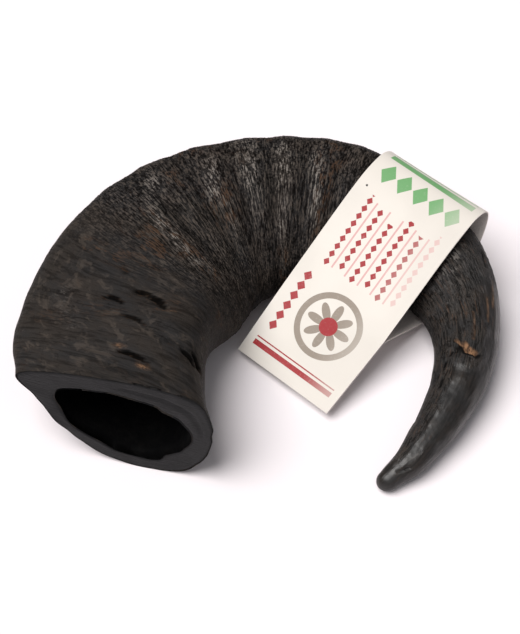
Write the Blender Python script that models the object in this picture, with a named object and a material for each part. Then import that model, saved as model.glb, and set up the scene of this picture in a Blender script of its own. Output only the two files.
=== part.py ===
"""A curled water buffalo horn, sold as a dog chew, with a card label looped round it.

The horn lies on its side on the ground. Its sawn, hollow base faces the front left. It curls over
the back to the right and ends in a solid blunt tip at the front right. The label is one strip of
card, folded round the horn just before the tip, with its two ends stuck together in the crook.

The tables below are in millimetres and degrees; MM turns them into Blender's metres.
"""
from collections import namedtuple
from math import atan2, cos, degrees, exp, hypot, pi, radians, sin

import bmesh
import bpy
from mathutils import Matrix, Vector

MM = 0.001

# Horn: one row for each station along it, from the sawn base to the tip. A section is set square to
# heading (degrees from +X, seen from above) and rolled about it, so that its outer edge rises.
# Roundness 0 is the rounded triangle of the sawn base, and 1 is an oval.
Station = namedtuple("Station", "x y z width thickness heading roll roundness")
STATIONS = (
    Station(-59.4, -76.4, 26.8, 82.0, 53.5, 73, 0, 0.00),
    Station(-62.3, -42.4, 27.0, 79.0, 53.0, 85, 3, 0.10),
    Station(-52.9, -7.0, 27.4, 81.0, 50.6, 62, 10, 0.30),
    Station(-31.6, 21.2, 28.2, 78.0, 45.6, 38, 20, 0.55),
    Station(2.3, 37.6, 27.0, 74.0, 40.0, 6, 29, 0.80),
    Station(36.2, 36.8, 25.8, 69.0, 33.5, -18, 34, 0.92),
    Station(62.6, 21.3, 24.0, 58.5, 30.5, -42, 34, 0.95),
    Station(82.2, 4.6, 20.0, 41.5, 28.0, -65, 26, 0.97),
    Station(88.7, -23.0, 16.0, 29.5, 26.0, -90, 13, 1.00),
    Station(82.6, -51.2, 13.0, 22.5, 21.5, -107, 6, 1.00),
    Station(64.8, -79.9, 8.5, 14.5, 13.5, -128, 0, 1.00),
    Station(52.1, -91.1, 4.6, 9.0, 8.5, -135, 0, 1.00),
)
STATION_GAP = 31.0
SIDES = 32
RINGS_PER_STATION = 9
RIM_RINGS = (0.05,)
TIP_CAP_ANGLES = (30, 58)
TIP_DIRECTION_REACH = 0.2

# Sections in half widths: across (outer edge +1, inner side -1), then up.
BASE_SECTION = (
    (1.00, 0.50), (0.75, 0.74), (0.15, 0.93), (-0.50, 1.00), (-0.88, 0.88), (-1.00, 0.40),
    (-0.95, -0.28), (-0.72, -0.86), (-0.30, -1.00), (0.15, -0.88), (0.60, -0.36), (0.86, 0.15),
)
BORE_SECTION = (
    (0.60, 0.20), (0.50, 0.42), (0.12, 0.60), (-0.35, 0.58), (-0.64, 0.42), (-0.79, 0.12),
    (-0.77, -0.20), (-0.58, -0.58), (-0.33, -0.77), (0.05, -0.67), (0.40, -0.38), (0.56, -0.02),
)
BORE_DEPTH = 4.2
BORE_RINGS = 10
BORE_BLUNTNESS = 1.6

# Relief of the horn's outside: growth ridges, a slow swell, a fuller inner side in the first bend
# (INNER_FILL, centred INNER_FILL_TURN degrees round), and the rim with the dip behind it. Heights
# are in millimetres and places along the horn in stations.
RIDGE_HEIGHT = 0.7
RIDGE_AT_EDGES = 0.3
RIDGES_PER_STATION = 2.35
RIDGES_FADE_IN = (1.9, 2.9)
RIDGES_FADE_OUT = (6.0, 7.6)
RIDGE_WANDER_ALONG = 0.9
RIDGE_WANDER_RATE = 1.3
RIDGE_WANDER_ROUND = 0.5
RIDGE_WANDER_START = 0.7
SWELL_HEIGHT = 0.5
SWELL_TWIST = 1.9
SWELL_RATE = 1.1
SWELL_FADES_OUT = (7.0, 9.0)
INNER_FILL = 6.7
INNER_FILL_TURN = 190
INNER_FILL_NARROWNESS = 4
INNER_FILL_AT = 2.6
INNER_FILL_LENGTH = 0.9
RIM_FLARE = 2.2
RIM_FLARE_LENGTH = 0.16
RIM_FLARE_LEAST = 0.25
RIM_DIP = 0.5
RIM_DIP_FADES_OUT = (0.3, 1.2)

# Gouges and creases: where each starts and ends (station, degrees round from the outer edge over the
# top), how wide it is and how deep. A degree round the horn is about DEGREE_OF_GIRTH millimetres.
DEGREE_OF_GIRTH = 0.55
Gouge = namedtuple("Gouge", "station_a turn_a station_b turn_b width depth")
GOUGES = (
    Gouge(1.40, 102, 1.15, 124, 4.0, 1.8),
    Gouge(1.25, 83, 1.20, 95, 4.0, 1.2),
    Gouge(1.00, 99, 0.85, 112, 4.0, 0.9),
    Gouge(0.45, 97, 0.35, 114, 4.0, 1.3),
    Gouge(0.66, 129, 0.50, 146, 4.5, 1.4),
    Gouge(2.35, 52, 1.95, 95, 4.5, 1.1),
    Gouge(1.75, 72, 1.60, 98, 4.5, 0.9),
    Gouge(8.50, 76, 8.62, 92, 3.0, 1.2),
)

# Label: a strip of card that runs LABEL_HEADING degrees from +X, between its left and right edges.
# Each edge is given by its distance along the strip and its height: first the stuck ends, then the
# join, the front up to the crest, the fold over the horn, and the back under it to the join again.
CARD_THICKNESS = 0.5
LABEL_HEADING = 49.0
LABEL_LEFT = 7.2
LABEL_RIGHT = 59.0
LEFT_EDGE = (
    (-23.0, 4.5), (3.0, 19.3), (29.0, 33.5), (52.0, 45.4), (66.0, 50.8), (77.0, 51.0), (84.4, 43.5),
    (83.6, 32.5), (75.9, 18.6), (62.8, 7.6), (48.0, 2.2), (32.0, 0.6), (19.0, 1.9), (9.3, 9.0),
    (3.0, 19.3),
)
RIGHT_EDGE = (
    (-25.0, 5.0), (13.0, 17.4), (32.0, 26.8), (50.0, 35.6), (64.0, 41.5), (76.0, 44.8), (84.3, 42.0),
    (85.0, 32.5), (79.0, 18.9), (70.0, 7.9), (58.0, 3.0), (47.5, 2.9), (36.0, 6.8), (25.0, 12.0),
    (13.0, 17.4),
)
LABEL_STEPS_PER_POINT = 4
LABEL_TAIL_STEPS = 4
LABEL_LANES = 4

HORN_COLOUR = (0.045, 0.038, 0.034, 1.0)
HORN_ROUGHNESS = 0.55
CARD_COLOUR = (0.91, 0.84, 0.76, 1.0)
CARD_ROUGHNESS = 0.6

# Edges whose faces meet at more than these degrees are shaded sharp.
HORN_SHARP_ANGLE = 50
CARD_SHARP_ANGLE = 40


def clear_scene():
    """Remove whatever the scene holds."""
    for item in list(bpy.data.objects):
        bpy.data.objects.remove(item, do_unlink=True)


def spline(a, b, c, d, f):
    """Catmull-Rom value at fraction f between b and c."""
    return 0.5 * (2 * b + (c - a) * f + (2 * a - 5 * b + 4 * c - d) * f ** 2
                  + (3 * b - a - 3 * c + d) * f ** 3)


def read_open(rows, place):
    """Read a smooth curve through rows of numbers at a place counted in rows."""
    last = len(rows) - 1
    i = min(int(place), last - 1)
    f = place - i
    values = []
    for column in range(len(rows[0])):
        b = rows[i][column]
        c = rows[i + 1][column]
        a = rows[i - 1][column] if i > 0 else 2 * b - c
        d = rows[i + 2][column] if i + 2 <= last else 2 * c - b
        values.append(spline(a, b, c, d, f))
    return values


def read_closed(points, count):
    """Sample a smooth closed outline through the points."""
    n = len(points)
    outline = []
    for k in range(count):
        place = k * n / count
        i = int(place)
        f = place - i
        a, b, c, d = (points[(i + j) % n] for j in (-1, 0, 1, 2))
        outline.append((spline(a[0], b[0], c[0], d[0], f), spline(a[1], b[1], c[1], d[1], f)))
    return outline


def ramp(value, start, end):
    """Smooth step from 0 at start to 1 at end."""
    f = min(max((value - start) / (end - start), 0.0), 1.0)
    return f * f * (3 - 2 * f)


def station_at(place):
    """The horn's station, read smoothly between the rows."""
    return Station(*read_open(STATIONS, place))


def section_axes(station):
    """Unit vectors of a section: across to the outer edge, and up."""
    heading = radians(station.heading)
    roll = radians(station.roll)
    level = Vector((-sin(heading), cos(heading), 0))
    up = Vector((0, 0, 1))
    return level * cos(roll) + up * sin(roll), up * cos(roll) - level * sin(roll)


def outer_section(station):
    """The horn's outline at a station, in half widths, between the sawn base's and an oval."""
    roundness = min(max(station.roundness, 0.0), 1.0)
    outline = []
    for across, up in read_closed(BASE_SECTION, SIDES):
        turn = atan2(up, across)
        outline.append((across + (cos(turn) - across) * roundness, up + (sin(turn) - up) * roundness))
    return outline


def gouge_depth(gouge, place, turn):
    """How far a gouge sinks the surface at a place, in millimetres."""
    ax, ay = gouge.station_a * STATION_GAP, gouge.turn_a * DEGREE_OF_GIRTH
    bx, by = gouge.station_b * STATION_GAP, gouge.turn_b * DEGREE_OF_GIRTH
    px, py = place * STATION_GAP, turn * DEGREE_OF_GIRTH
    along = ((px - ax) * (bx - ax) + (py - ay) * (by - ay)) / ((bx - ax) ** 2 + (by - ay) ** 2)
    along = min(max(along, 0.0), 1.0)
    away = hypot(px - ax - along * (bx - ax), py - ay - along * (by - ay))
    return gouge.depth * exp(-(away / gouge.width) ** 2)


def relief(place, turn):
    """Height of the horn's surface over its smooth section, in millimetres; turn in radians."""
    ridged = ramp(place, *RIDGES_FADE_IN) * (1 - ramp(place, *RIDGES_FADE_OUT))
    ridged *= RIDGE_AT_EDGES + (1 - RIDGE_AT_EDGES) * abs(sin(turn))
    wander = RIDGE_WANDER_ALONG * sin(RIDGE_WANDER_RATE * place)
    wander += RIDGE_WANDER_ROUND * sin(turn + RIDGE_WANDER_START)
    height = RIDGE_HEIGHT * ridged * cos(2 * pi * RIDGES_PER_STATION * place + wander)

    swell = sin(2 * turn + SWELL_TWIST * place) * sin(SWELL_RATE * place)
    height += SWELL_HEIGHT * swell * (1 - ramp(place, *SWELL_FADES_OUT))

    flare = RIM_FLARE_LEAST + (1 - RIM_FLARE_LEAST) * max(0.0, -cos(turn))
    rim = exp(-(place / RIM_FLARE_LENGTH) ** 2) - RIM_DIP
    height += RIM_FLARE * flare * rim * (1 - ramp(place, *RIM_DIP_FADES_OUT))

    inner = max(0.0, cos(turn - radians(INNER_FILL_TURN))) ** INNER_FILL_NARROWNESS
    height += INNER_FILL * inner * exp(-((place - INNER_FILL_AT) / INNER_FILL_LENGTH) ** 2)

    for gouge in GOUGES:
        height -= gouge_depth(gouge, place, degrees(turn))
    return height


def outer_ring(place):
    """Points of the horn's outside at a place along it, in metres."""
    station = station_at(place)
    side, up = section_axes(station)
    centre = Vector((station.x, station.y, station.z))
    ring = []
    for across, rise in outer_section(station):
        arm = side * (across * station.width / 2) + up * (rise * station.thickness / 2)
        arm += arm.normalized() * relief(place, atan2(rise, across))
        ring.append((centre + arm) * MM)
    return ring


def bore_ring(place):
    """Points of the hollow's wall at a place along the horn, in metres."""
    station = station_at(place)
    side, up = section_axes(station)
    centre = Vector((station.x, station.y, station.z))
    taper = 1 - (place / BORE_DEPTH) ** BORE_BLUNTNESS
    ring = []
    for across, rise in read_closed(BORE_SECTION, SIDES):
        arm = side * (across * station.width / 2) + up * (rise * station.thickness / 2)
        ring.append((centre + arm * taper) * MM)
    return ring


def tip_rings():
    """The rounded end of the tip, as shrinking rings and a last point."""
    end = station_at(len(STATIONS) - 1)
    before = station_at(len(STATIONS) - 1 - TIP_DIRECTION_REACH)
    centre = Vector((end.x, end.y, end.z)) * MM
    onward = (centre - Vector((before.x, before.y, before.z)) * MM).normalized()
    reach = end.width / 2 * MM
    last = outer_ring(len(STATIONS) - 1)
    rings = []
    for angle in TIP_CAP_ANGLES:
        shrink = cos(radians(angle))
        shift = onward * reach * sin(radians(angle))
        rings.append([centre + (point - centre) * shrink + shift for point in last])
    return rings, centre + onward * reach


def add_ring(mesh, points):
    """Add one ring of vertices to a bmesh."""
    return [mesh.verts.new(point) for point in points]


def bridge(mesh, first, second):
    """Join two rings of as many vertices with a band of faces."""
    for k in range(len(first)):
        after = (k + 1) % len(first)
        mesh.faces.new((first[k], first[after], second[after], second[k]))


def close_ring(mesh, ring, point):
    """Close a ring with a fan to one point."""
    tip = mesh.verts.new(point)
    for k in range(len(ring)):
        mesh.faces.new((ring[k], ring[(k + 1) % len(ring)], tip))


def ring_places():
    """Where the horn's rings stand, in stations."""
    steps = (len(STATIONS) - 1) * RINGS_PER_STATION
    return sorted(RIM_RINGS + tuple(k / RINGS_PER_STATION for k in range(steps + 1)))


def make_object(name, mesh, collection, material, sharp_angle):
    """Turn a bmesh into an object with outward faces, smooth shading and one material."""
    bmesh.ops.recalc_face_normals(mesh, faces=mesh.faces)
    data = bpy.data.meshes.new(name)
    mesh.to_mesh(data)
    mesh.free()
    data.materials.append(material)
    data.shade_smooth()
    data.set_sharp_from_angle(angle=radians(sharp_angle))
    item = bpy.data.objects.new(name, data)
    collection.objects.link(item)
    return item


def make_material(name, colour, roughness):
    """A plain Principled material."""
    material = bpy.data.materials.new(name)
    material.use_nodes = True
    shader = material.node_tree.nodes["Principled BSDF"]
    shader.inputs["Base Color"].default_value = colour
    shader.inputs["Roughness"].default_value = roughness
    shader.inputs["Metallic"].default_value = 0.0
    return material


def build_horn(collection):
    """The horn: a closed loft with ridges and gouges, and a blind hollow in its sawn base."""
    mesh = bmesh.new()
    outside = [add_ring(mesh, outer_ring(place)) for place in ring_places()]
    caps, tip = tip_rings()
    outside += [add_ring(mesh, ring) for ring in caps]
    for first, second in zip(outside, outside[1:]):
        bridge(mesh, first, second)
    close_ring(mesh, outside[-1], tip)

    hollow = [add_ring(mesh, bore_ring(k * BORE_DEPTH / BORE_RINGS)) for k in range(BORE_RINGS)]
    bridge(mesh, outside[0], hollow[0])
    for first, second in zip(hollow, hollow[1:]):
        bridge(mesh, first, second)
    blind_end = station_at(BORE_DEPTH)
    close_ring(mesh, hollow[-1], Vector((blind_end.x, blind_end.y, blind_end.z)) * MM)
    material = make_material("horn_keratin", HORN_COLOUR, HORN_ROUGHNESS)
    return make_object("horn", mesh, collection, material, HORN_SHARP_ANGLE)


def label_point(run, height, across):
    """A point of the label, in metres, from its run, its height and its place across the strip."""
    heading = radians(LABEL_HEADING)
    forward = Vector((cos(heading), sin(heading), 0))
    right = Vector((sin(heading), -cos(heading), 0))
    return (forward * run + right * across + Vector((0, 0, height))) * MM


def edge_profile(edge):
    """One edge's closed part from the join round to the join, as middle points and outward normals."""
    loop = edge[1:]
    steps = (len(loop) - 1) * LABEL_STEPS_PER_POINT
    middle = [read_open(loop, k / LABEL_STEPS_PER_POINT) for k in range(steps + 1)]
    normals = []
    for k in range(steps + 1):
        before = middle[max(k - 1, 0)]
        after = middle[min(k + 1, steps)]
        run, rise = after[0] - before[0], after[1] - before[1]
        length = hypot(run, rise)
        normals.append((-rise / length, run / length))
    return middle, normals


def mix(first, second, f):
    """Blend two pairs of numbers."""
    return first[0] + (second[0] - first[0]) * f, first[1] + (second[1] - first[1]) * f


def label_lane(f):
    """The label's section at fraction f across it: its tail's faces, the join and the loop's faces."""
    half = CARD_THICKNESS / 2
    across = LABEL_LEFT + (LABEL_RIGHT - LABEL_LEFT) * f
    left_middle, left_normals = edge_profile(LEFT_EDGE)
    right_middle, right_normals = edge_profile(RIGHT_EDGE)
    middle = [mix(a, b, f) for a, b in zip(left_middle, right_middle)]
    normals = [mix(a, b, f) for a, b in zip(left_normals, right_normals)]

    end = mix(LEFT_EDGE[0], RIGHT_EDGE[0], f)
    join = middle[0]
    run, rise = join[0] - end[0], join[1] - end[1]
    length = hypot(run, rise)
    lift = (-rise / length * CARD_THICKNESS, run / length * CARD_THICKNESS)
    top, bottom = [], []
    for k in range(LABEL_TAIL_STEPS + 1):
        x, z = mix(end, join, k / LABEL_TAIL_STEPS)
        top.append(label_point(x + lift[0], z + lift[1], across))
        bottom.append(label_point(x - lift[0], z - lift[1], across))

    outer, inner = [], []
    for (x, z), (nx, nz) in zip(middle[1:-1], normals[1:-1]):
        outer.append(label_point(x + nx * half, z + nz * half, across))
        inner.append(label_point(x - nx * half, z - nz * half, across))
    outline = top + outer + bottom[::-1]
    return outline, [label_point(join[0], join[1], across)] + inner


def build_label(collection):
    """The label: a band of card between two edges, closed in one body with its stuck ends."""
    mesh = bmesh.new()
    lanes = [label_lane(k / LABEL_LANES) for k in range(LABEL_LANES + 1)]
    outlines = [add_ring(mesh, outline) for outline, inside in lanes]
    insides = [add_ring(mesh, inside) for outline, inside in lanes]
    for first, second in zip(outlines, outlines[1:]):
        bridge(mesh, first, second)
    for first, second in zip(insides, insides[1:]):
        bridge(mesh, first, second)

    for outline, inside in ((outlines[0], insides[0]), (outlines[-1], insides[-1])):
        join_top = LABEL_TAIL_STEPS
        join_bottom = len(outline) - 1 - LABEL_TAIL_STEPS
        for k in range(LABEL_TAIL_STEPS - 1):
            mesh.faces.new((outline[k], outline[k + 1], outline[-k - 2], outline[-k - 1]))
        k = LABEL_TAIL_STEPS - 1
        mesh.faces.new((outline[k], outline[join_top], inside[0], outline[join_bottom], outline[-k - 1]))
        count = len(inside)
        for j in range(count):
            mesh.faces.new((outline[join_top + j], outline[join_top + j + 1],
                            inside[(j + 1) % count], inside[j]))
    material = make_material("label_card", CARD_COLOUR, CARD_ROUGHNESS)
    return make_object("card_label", mesh, collection, material, CARD_SHARP_ANGLE)


def stand_on_origin(items):
    """Shift the model so that the origin is at the middle of its bounding box's bottom."""
    points = [vertex.co for item in items for vertex in item.data.vertices]
    low = [min(point[axis] for point in points) for axis in range(3)]
    high = [max(point[axis] for point in points) for axis in range(3)]
    shift = Matrix.Translation((-(low[0] + high[0]) / 2, -(low[1] + high[1]) / 2, -low[2]))
    for item in items:
        item.data.transform(shift)
        item.data.update()


def main():
    """Build the horn and its label."""
    clear_scene()
    collection = bpy.data.collections.new("buffalo_horn_chew")
    bpy.context.scene.collection.children.link(collection)
    stand_on_origin([build_horn(collection), build_label(collection)])


main()
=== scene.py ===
"""The finish of a curled water buffalo horn chew with a card label folded round it.

The CAD frame gives the horn's and the label's solids. This script puts a detailed horn, its raised
fibres and a printed card in their place, on a plain pale floor in soft light.

Tables are in millimetres and degrees, as the solids' stations are; MM turns them into metres.
"""
from collections import namedtuple
from itertools import product
from math import cos, radians, sin

import bmesh
import bpy
import numpy as np
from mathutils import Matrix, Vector


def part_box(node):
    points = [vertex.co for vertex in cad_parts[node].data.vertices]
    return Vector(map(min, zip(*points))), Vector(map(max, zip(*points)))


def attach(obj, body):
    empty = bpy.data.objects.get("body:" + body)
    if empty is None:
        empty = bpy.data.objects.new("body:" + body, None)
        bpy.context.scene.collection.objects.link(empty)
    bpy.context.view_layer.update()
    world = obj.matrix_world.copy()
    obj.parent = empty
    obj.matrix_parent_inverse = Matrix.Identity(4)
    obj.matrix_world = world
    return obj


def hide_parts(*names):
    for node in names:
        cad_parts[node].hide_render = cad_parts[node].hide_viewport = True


bl_info = {
    "name": "Horn Chew Finish",
    "version": (1, 0, 0),
    "blender": (4, 5, 0),
    "location": "View3D > Sidebar > Horn Chew",
    "description": "Builds a fibrous buffalo horn with a printed card label round it",
    "category": "Object",
}

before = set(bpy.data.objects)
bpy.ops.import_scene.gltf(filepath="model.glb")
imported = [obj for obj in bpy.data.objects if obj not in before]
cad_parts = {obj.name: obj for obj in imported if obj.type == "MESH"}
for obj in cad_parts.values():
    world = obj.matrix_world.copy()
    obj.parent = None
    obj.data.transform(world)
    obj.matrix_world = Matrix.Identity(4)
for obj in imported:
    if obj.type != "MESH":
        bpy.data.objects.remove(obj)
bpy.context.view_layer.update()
BODY = "root"
MM = 0.001

# Horn: one row for each station along it, from the sawn base to the tip, as the solid has them.
Station = namedtuple("Station", "x y z width thickness heading roll roundness")
STATIONS = (
    Station(-59.4, -76.4, 26.8, 82.0, 53.5, 73, 0, 0.00),
    Station(-62.3, -42.4, 27.0, 79.0, 53.0, 85, 3, 0.10),
    Station(-52.9, -7.0, 27.4, 81.0, 50.6, 62, 10, 0.30),
    Station(-31.6, 21.2, 28.2, 78.0, 45.6, 38, 20, 0.55),
    Station(2.3, 37.6, 27.0, 74.0, 40.0, 6, 29, 0.80),
    Station(36.2, 36.8, 25.8, 69.0, 33.5, -18, 34, 0.92),
    Station(62.6, 21.3, 24.0, 58.5, 30.5, -42, 34, 0.95),
    Station(82.2, 4.6, 20.0, 41.5, 28.0, -65, 26, 0.97),
    Station(88.7, -23.0, 16.0, 29.5, 26.0, -90, 13, 1.00),
    Station(82.6, -51.2, 13.0, 22.5, 21.5, -107, 6, 1.00),
    Station(64.8, -79.9, 8.5, 14.5, 13.5, -128, 0, 1.00),
    Station(52.1, -91.1, 4.6, 9.0, 8.5, -135, 0, 1.00),
)
STATION_GAP = 31.0
LAST_STATION = len(STATIONS) - 1

# Columns of the stations once they are an array.
CENTRE = slice(0, 3)
WIDTH = 3
THICKNESS = 4
HEADING = 5
ROLL = 6
ROUNDNESS = 7

# Mesh: points round the horn, rings along its outside, and the shares of them up to some stations.
SIDES = 160
OUTER_RINGS = 564
RING_SHARES = (0.0, 0.20, 0.55, 0.57, 0.85, 1.0)
RING_STATIONS = (0.0, 1.8, 5.4, 6.2, 8.9, 11.0)
TIP_STATION = 5.9
TIP_CAP_ANGLES = (10, 20, 30, 40, 50, 60, 70, 80)
TIP_DIRECTION_REACH = 0.2

# Sections in half widths: across (outer edge +1, inner side -1), then up. Roundness 0 is the first
# one, and 1 is an oval. A station's roll lifts its outer edge.
BASE_SECTION = (
    (1.00, 0.50), (0.75, 0.74), (0.15, 0.93), (-0.50, 1.00), (-0.88, 0.88), (-1.00, 0.40),
    (-0.95, -0.28), (-0.72, -0.86), (-0.30, -1.00), (0.15, -0.88), (0.60, -0.36), (0.86, 0.15),
)
BORE_SECTION = (
    (0.60, 0.20), (0.50, 0.42), (0.12, 0.60), (-0.35, 0.58), (-0.64, 0.42), (-0.79, 0.12),
    (-0.77, -0.20), (-0.58, -0.58), (-0.33, -0.77), (0.05, -0.67), (0.40, -0.38), (0.56, -0.02),
)

# Hollow: how many stations deep it is, and lumps on its wall as shares of its size. A noise is the
# size of its cells in millimetres and its seed.
BORE_DEPTH = 4.2
BORE_RINGS = 26
BORE_BLUNTNESS = 1.6
BORE_LUMPS = 0.035
MOUTH_LUMPS = 0.06
MOUTH_LUMPS_LENGTH = 8
BORE_NOISE = ((7, 7, 16), 20)
MOUTH_NOISE = ((3.5, 3.5, 4), 23)

# Sawn face: how far its lower left reaches out past a straight cut, by degrees below the outer edge,
# and how deep its worn edges and the split between its layers are.
CUT_RINGS = 18
SAW_REACH = 2.1
SAW_REACH_LENGTH = 0.35
SAW_REACH_TURNS = (0, 35, 80, 145)
SAW_RIPPLE = 0.25
OUTER_WEAR = 0.9
OUTER_WEAR_WIDTH = 0.05
INNER_WEAR = 0.7
INNER_WEAR_WIDTH = 0.06
SPLIT_DEPTH = 0.7
SPLIT_AT = 0.52
SPLIT_WIDTH = 0.07
SPLIT_WANDER = 0.08
SPLIT_TURNS = (88, 110, 160, 178)
SAW_NOISE = ((6, 6, 6), 21)
SPLIT_NOISE = ((9, 9, 9), 22)

# Relief that the solid has too: growth ridges, a slow swell, a fuller inner side in the first bend
# (centred INNER_FILL_TURN degrees round), and the rim with the dip behind it. The ridges are a little
# lower here than in the solid, because fine relief lies on them.
RIDGE_HEIGHT = 0.55
RIDGE_AT_EDGES = 0.3
RIDGES_PER_STATION = 2.35
RIDGES_FADE_IN = (1.9, 2.9)
RIDGES_FADE_OUT = (6.0, 7.6)
RIDGE_WANDER_ALONG = 0.9
RIDGE_WANDER_RATE = 1.3
RIDGE_WANDER_ROUND = 0.5
RIDGE_WANDER_START = 0.7
SWELL_HEIGHT = 0.5
SWELL_TWIST = 1.9
SWELL_RATE = 1.1
SWELL_FADES_OUT = (7.0, 9.0)
INNER_FILL = 6.7
INNER_FILL_TURN = 190
INNER_FILL_NARROWNESS = 4
INNER_FILL_AT = 2.6
INNER_FILL_LENGTH = 0.9
RIM_FLARE = 2.2
RIM_FLARE_LENGTH = 0.16
RIM_FLARE_LEAST = 0.25
RIM_DIP = 0.5
RIM_DIP_FADES_OUT = (0.3, 1.2)

# Marks on the horn, as paths of places on it (station, degrees round from the outer edge over the
# top), with how wide they are in millimetres, and how deep or strong. Dents are shallow and soft,
# cuts are slots under a raised lip with painted black shade in them, and silver patches are rubbed
# ridges painted lighter, partly as painted highlight.
Mark = namedtuple("Mark", "path width depth")
DENTS = (
    Mark(((1.36, 102), (1.18, 118)), 3.6, 0.25),
    Mark(((1.22, 83), (1.16, 95)), 3.6, 0.15),
    Mark(((0.66, 129), (0.50, 146)), 4.5, 0.7),
    Mark(((2.35, 52), (1.95, 95)), 4.5, 0.35),
    Mark(((8.50, 76), (8.62, 92)), 3.0, 0.5),
)
CUTS = (
    Mark(((1.42, 99), (1.41, 106), (1.33, 113), (1.20, 119)), 3.4, 2.0),
    Mark(((1.26, 81), (1.28, 86), (1.25, 91), (1.19, 95)), 1.8, 1.1),
    Mark(((1.02, 98), (0.95, 106), (0.88, 111)), 0.7, 0.95),
    Mark(((0.47, 96), (0.46, 102), (0.41, 108), (0.35, 112)), 1.5, 1.5),
    Mark(((0.70, 121), (0.66, 125)), 0.9, 0.6),
    Mark(((0.63, 129), (0.57, 135), (0.50, 138)), 1.3, 1.4),
    Mark(((0.66, 138), (0.55, 143), (0.56, 149)), 1.4, 1.6),
    Mark(((1.83, 74), (1.78, 79)), 1.4, 0.5),
    Mark(((1.71, 84), (1.65, 89)), 1.6, 0.7),
    Mark(((1.60, 93), (1.54, 98)), 1.2, 0.5),
    Mark(((2.34, 52), (2.20, 65), (2.10, 78), (2.00, 92), (1.90, 104)), 1.6, 0.25),
    Mark(((10.80, 66), (10.50, 48)), 1.0, 0.6),
    Mark(((0.95, 20), (1.10, -8), (1.05, -30)), 1.6, 0.9),
    Mark(((1.70, -60), (1.55, -85), (1.60, -110)), 2.0, 1.0),
    Mark(((0.60, -120), (0.72, -140)), 1.6, 0.9),
)
# The silver patches are painted lighter: partly rubbed wear, partly painted highlight on the ridges.
RUBBED_AND_HIGHLIGHT_PATCHES = (
    Mark(((2.85, 50), (2.70, 62), (2.55, 81), (2.50, 92), (2.38, 112)), 2.8, 1.0),
    Mark(((3.50, 48), (3.42, 65), (3.33, 80)), 2.0, 1.0),
    Mark(((3.85, 30), (3.84, 60), (3.80, 92)), 3.0, 1.0),
    Mark(((4.22, 42), (4.22, 75), (4.20, 108)), 2.3, 1.0),
    Mark(((4.60, 48), (4.65, 75), (4.70, 98)), 2.3, 0.95),
    Mark(((6.62, 66), (6.86, 74), (7.04, 70)), 5.0, 0.9),
    Mark(((6.95, 48), (7.50, 62)), 7.5, 0.16),
    Mark(((7.20, 96), (7.90, 104)), 5.5, 0.16),
    Mark(((1.30, 55), (1.10, 60), (0.85, 66)), 3.0, 0.2),
)
CHIP = Mark(((8.50, 86), (8.58, 79), (8.60, 64)), 1.7, 1.4)
SPLINTER = Mark(((8.42, 104), (8.50, 95)), 0.9, 1.2)
TAN_STREAKS = (
    Mark(((7.70, 39), (8.05, 43)), 0.5, 0.5),
    Mark(((7.45, 18), (7.80, 29)), 0.7, 0.4),
    Mark(((7.95, 70), (8.40, 71)), 0.35, 0.5),
    Mark(((0.55, 96), (0.55, 98)), 0.9, 0.6),
    Mark(((0.30, 108), (0.29, 111)), 0.9, 0.6),
)
PITS = (
    Mark(((8.62, 110), (8.68, 113)), 1.0, 0.9),
    Mark(((8.78, 120), (8.84, 122)), 1.2, 0.9),
    Mark(((8.93, 112), (9.00, 114)), 0.9, 0.7),
    Mark(((9.08, 118), (9.20, 116)), 1.0, 0.8),
    Mark(((9.34, 108), (9.40, 110)), 0.9, 0.6),
    Mark(((8.55, 98), (8.62, 100)), 0.9, 0.9),
    Mark(((7.05, 20), (7.25, 24)), 0.9, 0.7),
    Mark(((6.75, 42), (6.85, 45)), 0.9, 0.6),
    Mark(((10.60, 58), (10.50, 50)), 0.7, 0.6),
)

# Cuts, in millimetres: the slot, its share of the depth, and the lip behind it, and the length over
# which a cut's ends taper to TAPER_LEAST of its depth. Its black, painted shade of the slot and the
# lip's wall, fades in before the slot and out behind the lip, further on at its middle. Between
# BLACK_DEPTHS it grows from BLACK_LEAST to full.
SLOT_WIDTH = 0.8
SLOT_SHARE = 0.55
LIP_SHARPNESS = 0.6
TAPER = (-0.8, 3.2)
TAPER_LEAST = 0.3
BLACK_FADES_IN = (-0.8, -0.2)
BLACK_FADES_OUT = (0.2, 0.6)
BLACK_WIDENS = (0.7, 0.9)
BLACK_TAPER = (0.0, 0.25)
BLACK_DEPTHS = (0.2, 1.0)
BLACK_LEAST = 0.1

# Kinds of surface, by the stations or degrees round at which they fade in, are full, and fade out:
# leathery skin at the base, shaggy fibres over the curl, then woody grain, smooth lumps and polish.
LEATHERY_FADES_OUT = (1.4, 2.9)
SHAGGY = (1.6, 2.9, 6.9, 7.8)
WOODY_FADES_IN = (6.8, 8.0)
WOODY_THINS = (9.0, 10.5)
WOODY_LOSS = 0.6
SMOOTH_FADES_IN = (7.6, 8.6)
POLISH_FADES_IN = (8.55, 8.95)
POLISH_TURNS = (-20, 15, 90, 112)
FLANK_POLISH = 0.9
FLANK_FADES_IN = (7.0, 7.7)
FLANK_TURNS = (-40, -10, 35, 70)
END_POLISH = (10.2, 10.8)
FIBRES_END = 0.3

# How far noise moves the marks' edges: degrees round for frays, and stations along for the rest. The
# chip's floor ends between shares of its width, and the shade under its edge lies beyond.
FRAY = 1.2
CUT_WANDER = 0.012
CHIP_WANDER = 0.03
CHIP_EDGE = (0.8, 1.2)
UNDERCUT_FADES_IN = (0.55, 0.85)
UNDERCUT_FADES_OUT = (2.6, 3.2)
SPLINTER_EDGE = 0.4
RIM_CHATTER = 0.35
RIM_CHATTER_LENGTH = 0.05

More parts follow.
